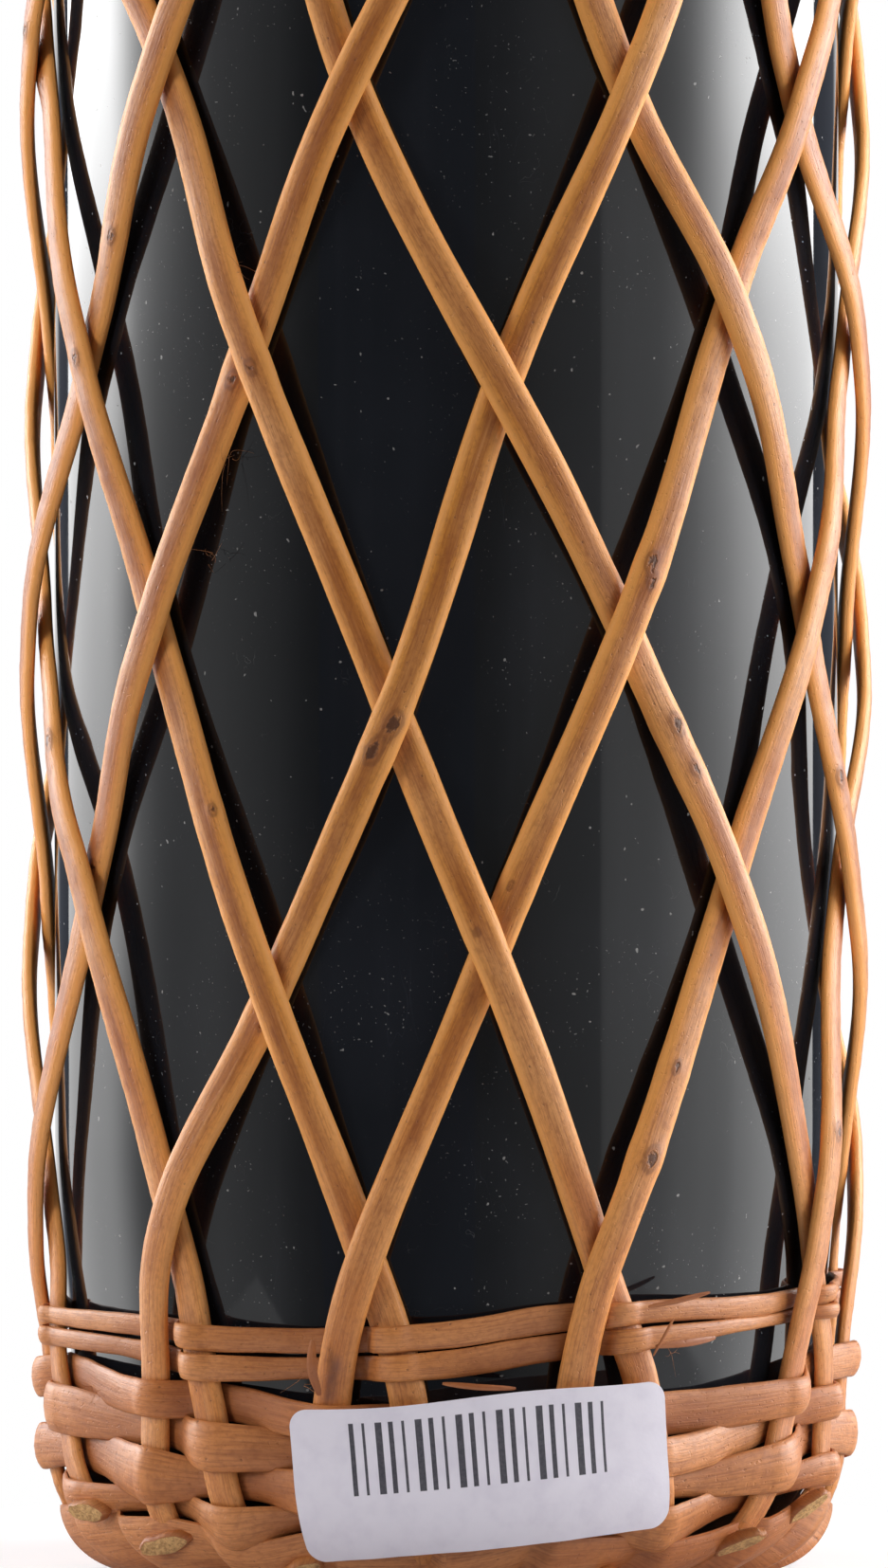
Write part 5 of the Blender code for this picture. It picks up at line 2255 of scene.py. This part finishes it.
@dataclass
class Sticker:
    """Paper sticker bent round the base weave, its corners rounded and its top edge wavy."""

    width: float = 0.0370
    height: float = 0.0148
    corner: float = 0.0018
    thickness: float = 0.00014
    turn: float = 5.3
    station: float = 0.0122
    tilt: float = 4.6
    lift: float = 0.0007
    columns: int = 150
    rows: int = 60
    level: float = 0.0041
    sink: float = 0.00012
    ripple: float = 0.00016
    ripple_pitch: float = 0.021
    edge_wave: float = 0.00022
    edge_pitch: float = 0.027

    def build(self) -> None:
        """Make the sheet as a flattened tube: front rows up, back rows down.

        A point at (x, y) of the sheet stands at turn + (x cos a - y sin a) / radius and station
        + x sin a + y cos a, with y squeezed towards the edges so that the corners are round.
        """
        half_width, half_height = self.width / 2.0, self.height / 2.0
        place = half_width * np.sin(np.linspace(-math.pi / 2.0, math.pi / 2.0, self.columns))
        inset = np.clip(self.corner - (half_width - np.abs(place)), 0.0, self.corner)
        reach = half_height - self.corner + np.sqrt(np.maximum(self.corner**2 - inset**2, 1e-12))
        share = np.linspace(-1.0, 1.0, self.rows)
        share = np.concatenate([share, share[::-1]])[None, :]
        front = np.repeat([1.0, 0.0], self.rows)[None, :]
        x = np.repeat(place[:, None], 2 * self.rows, axis=1)
        y = reach[:, None] * share
        ripple = self.ripple * wave(x + 0.4 * y, self.ripple_pitch, 2.0)
        ripple = ripple * smooth_step(np.abs(share))
        depth = self.level + self.thickness * front - self.sink + 0.5 * ripple
        crest = np.sin(x * (2.0 * math.pi / self.edge_pitch) + 0.6) * np.maximum(share, 0.0)
        tilt = math.radians(self.tilt)
        along = x * math.cos(tilt) - y * math.sin(tilt)
        up = x * math.sin(tilt) + y * math.cos(tilt) + self.edge_wave * crest
        up = up + self.lift * np.maximum(-share, 0.0) * (x / half_width + 1.0) / 2.0
        radius = SIDE.radius_at(self.station, self.level)
        points = SIDE.point(self.turn + np.degrees(along / radius), self.station + up, depth)
        skin = Skin(points, place, np.zeros(2 * self.rows + 1))
        mesh = one_material(skin.mesh("price_sticker_paper", "sheet"))
        ends = [(x.min(), 0.0), (x.max(), 0.0)]
        self._map_sheet(mesh, np.concatenate([np.stack([x.ravel(), y.ravel()], -1), ends]))
        Piece(mesh, (STICKER_PAPER,), Slot.PAPER, ("price_sticker",)).build()

    @staticmethod
    def _map_sheet(mesh: bpy.types.Mesh, flat: Array) -> None:
        """Give each corner of a face its vertex's place on the flat sheet.

        Args:
            mesh: Mesh of the sticker.
            flat: Flat place of each point.
        """
        corner = np.zeros(len(mesh.loops), np.int32)
        mesh.loops.foreach_get("vertex_index", corner)
        mesh.uv_layers["sheet"].data.foreach_set("uv", flat[corner].astype(np.float32).ravel())


@dataclass
class Stopper:
    """Cork shank with a moulded cap, its grip ribbed."""

    chamfer: float = 0.0010
    bevel: float = 0.0002
    cap_round: float = 0.0012
    cap_chamfer: float = 0.0006
    grip_top: float = 0.0086
    dish_edge: float = 0.0030
    dish_depth: float = 0.0003
    rib_count: int = 60
    rib_depth: float = 0.00022
    rib_low: float = 0.0012
    rib_high: float = 0.0088
    rib_blend: float = 0.0008
    steps: int = 480

    def build(self) -> None:
        """Turn the shank and the cap from the boxes of their nodes."""
        low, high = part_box("stopper_shank")
        radius, cut, bevel = high.x, self.chamfer, self.bevel
        profile = np.concatenate(
            [
                [(0.0, low.z), (radius - cut, low.z)],
                arc((radius - cut, low.z + cut), cut, -80.0, 0.0, 6),
                [(radius, high.z - bevel), (radius - bevel, high.z), (0.0, high.z)],
            ]
        )
        mesh = turned_mesh("stopper_cork", profile, 96)
        Piece(mesh, (CORK,), Slot.CORK, ("stopper_shank",), Body.STOPPER).build()
        low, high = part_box("stopper_cap")
        radius, edge, dish = high.x, self.cap_round, high.z - self.dish_depth
        grip = np.linspace(self.rib_low, self.grip_top, 16)
        foot, inner = radius - self.cap_chamfer, radius - self.dish_edge
        profile = np.concatenate(
            [
                [(0.0, low.z), (foot, low.z), (radius - 0.0001, low.z + 0.0004)],
                [(radius, low.z + height) for height in grip],
                arc((radius - edge, high.z - edge), edge, 0.0, 90.0, 8),
                [(inner, high.z), (inner - self.cap_chamfer, dish), (0.0, dish)],
            ]
        )
        mesh = turned_mesh("stopper_cap_moulding", profile, self.steps)
        self._rib(mesh, radius, low.z)
        Piece(mesh, (CAP_PLASTIC,), Slot.PLASTIC, ("stopper_cap",), Body.STOPPER).build()

    def _rib(self, mesh: bpy.types.Mesh, radius: float, foot: float) -> None:
        """Press grooves into the grip: depth * (0.5 - 0.5 cos(n * angle)), fading at its ends.

        Args:
            mesh: Mesh of the cap.
            radius: Radius of its side.
            foot: Height of its underside.
        """
        co = np.zeros(len(mesh.vertices) * 3, np.float32)
        mesh.vertices.foreach_get("co", co)
        x, y, z = co.reshape(-1, 3).T
        reach = np.hypot(x, y)
        low, high = foot + self.rib_low, foot + self.rib_high
        fade = rise(z, low, self.rib_blend) * rise(-z, -high, self.rib_blend)
        groove = self.rib_depth * (0.5 - 0.5 * np.cos(self.rib_count * np.arctan2(x, y))) * fade
        groove *= reach > radius - self.bevel
        co.reshape(-1, 3)[:, :2] *= (1.0 - groove / np.maximum(reach, 1e-6))[:, None]
        mesh.vertices.foreach_set("co", co)
        mesh.update()


@dataclass(frozen=True)
class FloorFinish(Finish):
    """Pale matt floor that keeps the shadow near the bottle and fades into plain white."""

    name: str = "pale_floor"
    colour: Tone = (0.6, 0.6, 0.61, 1.0)
    lift: Tone = (0.57, 0.57, 0.58, 1.0)
    near: float = 0.042
    far: float = 0.075

    def shade(self, bench: Bench) -> Signal:
        """Matt white, blended into white light for the eye by distance from the axis.

        Args:
            bench: Where the finish's nodes are made.

        Returns:
            The surface shader.
        """
        path = bench.node("ShaderNodeLightPath", None, None, "Is Camera Ray")
        place = bench.coordinates()
        away = (bench.split(place, "X") ** 2.0 + bench.split(place, "Y") ** 2.0) ** 0.5
        lit = {"Specular IOR Level": 0.0, "Emission Strength": 1.0}
        glow = bench.mix(path, grey(0.0), self.lift)
        white = bench.mix(path, grey(0.8), grey(1.0))
        matt = {"Base Color": self.colour, "Roughness": 0.9, "Emission Color": glow}
        plain = {"Base Color": grey(0.0), "Emission Color": white}
        shaders = {1: bench.surface(matt | lit), 2: bench.surface(plain | lit)}
        share = away.between(self.near, self.far)
        return bench.node("ShaderNodeMixShader", None, {0: share} | shaders)


@dataclass(frozen=True)
class PanelFinish(Finish):
    """Lit cloth of a soft box, as bright as the number "glow" that the panel carries."""

    name: str = "soft_box_cloth"

    def shade(self, bench: Bench) -> Signal:
        """Light only, no reflection.

        Args:
            bench: Where the finish's nodes are made.

        Returns:
            The surface shader.
        """
        glow = {channel: bench.attribute("glow") for channel in range(3)}
        colour = bench.node("ShaderNodeCombineColor", None, glow)
        lit = {"Specular IOR Level": 0.0, "Emission Color": colour, "Emission Strength": 1.0}
        return bench.surface({"Base Color": grey(0.0)} | lit)


@dataclass
class SoftPanel:
    """A tall soft box bent round the bottle, brightest behind its middle and up its height."""

    name: str
    glow: Stops
    radius: float = 0.55
    low: float = -0.12
    high: float = 0.62
    columns: int = 127
    rows: int = 40
    front_turn: float = 66.0
    front_blend: float = 24.0

    def build(self) -> None:
        """Make the panel: glow at (turn, height) is the curve's value * rise(height) ** share.

        The share goes from none in front to one at the sides, so the front part is even.
        """
        turn = np.linspace(self.glow[0][0], self.glow[-1][0], self.columns)[:, None]
        height = np.linspace(self.low, self.high, self.rows)[None, :]
        points = about_axis(self.radius, np.radians(turn), height)
        share = rise(np.abs(turn), self.front_turn, self.front_blend)
        glow = steady_through(self.glow, turn) * steady_through(PANEL_RISE, height) ** share
        quads = corners(np.arange(glow.size).reshape(glow.shape))
        mesh = bpy.data.meshes.new(self.name)
        mesh.from_pydata(points.reshape(-1, 3), [], quads.reshape(-1, 4))
        carry(mesh, "glow", glow)
        mesh.materials.append(PanelFinish().material())
        panel = link(self.name, mesh)
        panel.visible_camera = False


# How a soft box's brightness changes up its height
PANEL_RISE = (
    (-0.12, 0.38), (0.0, 0.42), (0.05, 0.6), (0.0865, 0.82), (0.115, 1.2), (0.142, 2.0),
    (0.17, 2.2), (0.24, 1.1), (0.36, 0.5), (0.62, 0.2),
)

# Brightness of the soft boxes at each turn round the bottle
RIGHT_GLOW = (
    (8.0, 0.14), (30.0, 0.34), (44.0, 0.44), (45.5, 0.82), (62.0, 1.05), (72.0, 1.7),
    (82.0, 3.2), (97.0, 5.8), (106.0, 6.4), (134.0, 4.8),
)
LEFT_GLOW = (
    (-144.0, 4.0), (-124.0, 5.0), (-114.0, 5.8), (-98.0, 2.0), (-88.0, 1.15), (-78.0, 0.82),
    (-60.0, 0.52), (-50.0, 0.36), (-36.0, 0.14),
)


def aimed(name: str, data: Any, place: Place, target: Place) -> bpy.types.Object:
    """New lamp or camera at a place, turned to face a target.

    Args:
        name: Name of the object.
        data: Its lamp or camera.
        place: Where it stands.
        target: Where it faces.

    Returns:
        The object.
    """
    made = link(name, data)
    made.location = place
    made.rotation_euler = (Vector(target) - made.location).to_track_quat("-Z", "Y").to_euler()
    return made


@dataclass
class Lamp:
    """Rectangular lamp at a turn round the bottle, facing its middle, its power in watts."""

    name: str
    turn: float
    distance: float
    height: float
    width: float
    tall: float
    power: float
    aim_height: float = 0.12

    def build(self) -> None:
        """Place the lamp, unseen in reflections."""
        data = bpy.data.lights.new(self.name, "AREA")
        data.shape = "RECTANGLE"
        data.size, data.size_y, data.energy = self.width, self.tall, self.power
        angle = math.radians(self.turn)
        place = (self.distance * math.sin(angle), -self.distance * math.cos(angle), self.height)
        aimed(self.name, data, place, (0.0, 0.0, self.aim_height)).visible_glossy = False


@dataclass
class Studio:
    """Pale floor, white surroundings, two tall soft boxes and a soft top light."""

    floor_back: float = 0.13
    floor_front: float = 0.10
    floor_half: float = 0.13

    def build(self) -> None:
        """Set out floor, world and lamps."""
        self._floor()
        self._world()
        SoftPanel("right_box", RIGHT_GLOW).build()
        SoftPanel("left_box", LEFT_GLOW).build()
        Lamp("top_box", 0.0, 0.3, 1.5, 1.0, 1.0, 1.5).build()
        Lamp("right_key", 60.0, 0.5, 0.24, 0.12, 0.3, 0.52).build()
        Lamp("left_key", -54.0, 0.5, 0.24, 0.12, 0.3, 0.92).build()

    def _floor(self) -> None:
        """Flat floor, wider behind the bottle than before it."""
        mesh = bpy.data.meshes.new("floor")
        half, front, back = self.floor_half, -self.floor_front, self.floor_back
        ends = ((-half, front), (half, front), (half, back), (-half, back))
        mesh.from_pydata([(x, y, 0.0) for x, y in ends], [], [(0, 1, 2, 3)])
        mesh.materials.append(FloorFinish().material())
        link("floor", mesh)

    @staticmethod
    def _world() -> None:
        """White for the camera; for gloss, white behind the bottle and dark before it."""
        world = bpy.data.worlds.new("studio")
        world.use_nodes = True
        bpy.context.scene.world = world
        bench = Bench(world.node_tree)
        rays = ("Is Camera Ray", "Is Glossy Ray", "Is Transmission Ray")
        path, gloss, through = (bench.node("ShaderNodeLightPath", None, None, ray) for ray in rays)
        gloss = gloss.most(through)
        way = bench.node("ShaderNodeTexCoord", None, None, "Generated")
        level = bench.coats(
            (0.07, 0.07, 0.075, 1.0),
            (gloss, (0.12, 0.13, 0.16, 1.0)),
            (gloss * bench.split(way, "Y").between(0.93, 0.97), grey(1.0)),
            (path, grey(1.0)),
        )
        background = bench.node("ShaderNodeBackground", None, {"Color": level, "Strength": 1.0})
        bench.node("ShaderNodeOutputWorld", None, {"Surface": background})


@dataclass
class Eye:
    """Camera at the photograph's angle."""

    distance: float = 1.6
    height: float = 0.152
    aim_height: float = 0.0759
    aim_right: float = -0.0002
    view_height: float = 0.15216
    sensor: float = 36.0
    clip: tuple[float, float] = (0.05, 20.0)

    def build(self) -> None:
        """Place the camera and set its lens from the height of the view at the axis."""
        data = bpy.data.cameras.new("photograph")
        data.sensor_width = self.sensor
        reach = math.hypot(self.distance, self.height - self.aim_height)
        data.lens = self.sensor * reach / self.view_height
        data.clip_start, data.clip_end = self.clip
        place = (self.aim_right, -self.distance, self.height)
        target = (self.aim_right, 0.0, self.aim_height)
        bpy.context.scene.camera = aimed("photograph", data, place, target)


def main() -> None:
    """Build the bottle from the glass outwards, then the studio round it."""
    logging.basicConfig(level=logging.INFO, format="%(message)s")
    bpy.context.scene.view_settings.view_transform = "Standard"
    stakes = [Stake(family, column) for family in Family for column in range(LATTICE.columns)]
    woven = [kind(stakes) for kind in (BaseWeave, BindingBands, Collar, Border, CutStubs)]
    slivers = [Sliver(*sliver) for sliver in SLIVERS]
    rest = [Hairs(), Underside(), Sticker(), Stopper(), Studio(), Eye()]
    for part in (GlassBottle(), *stakes, *woven, *slivers, *rest):
        part.build()


if __name__ == "__main__":
    main()
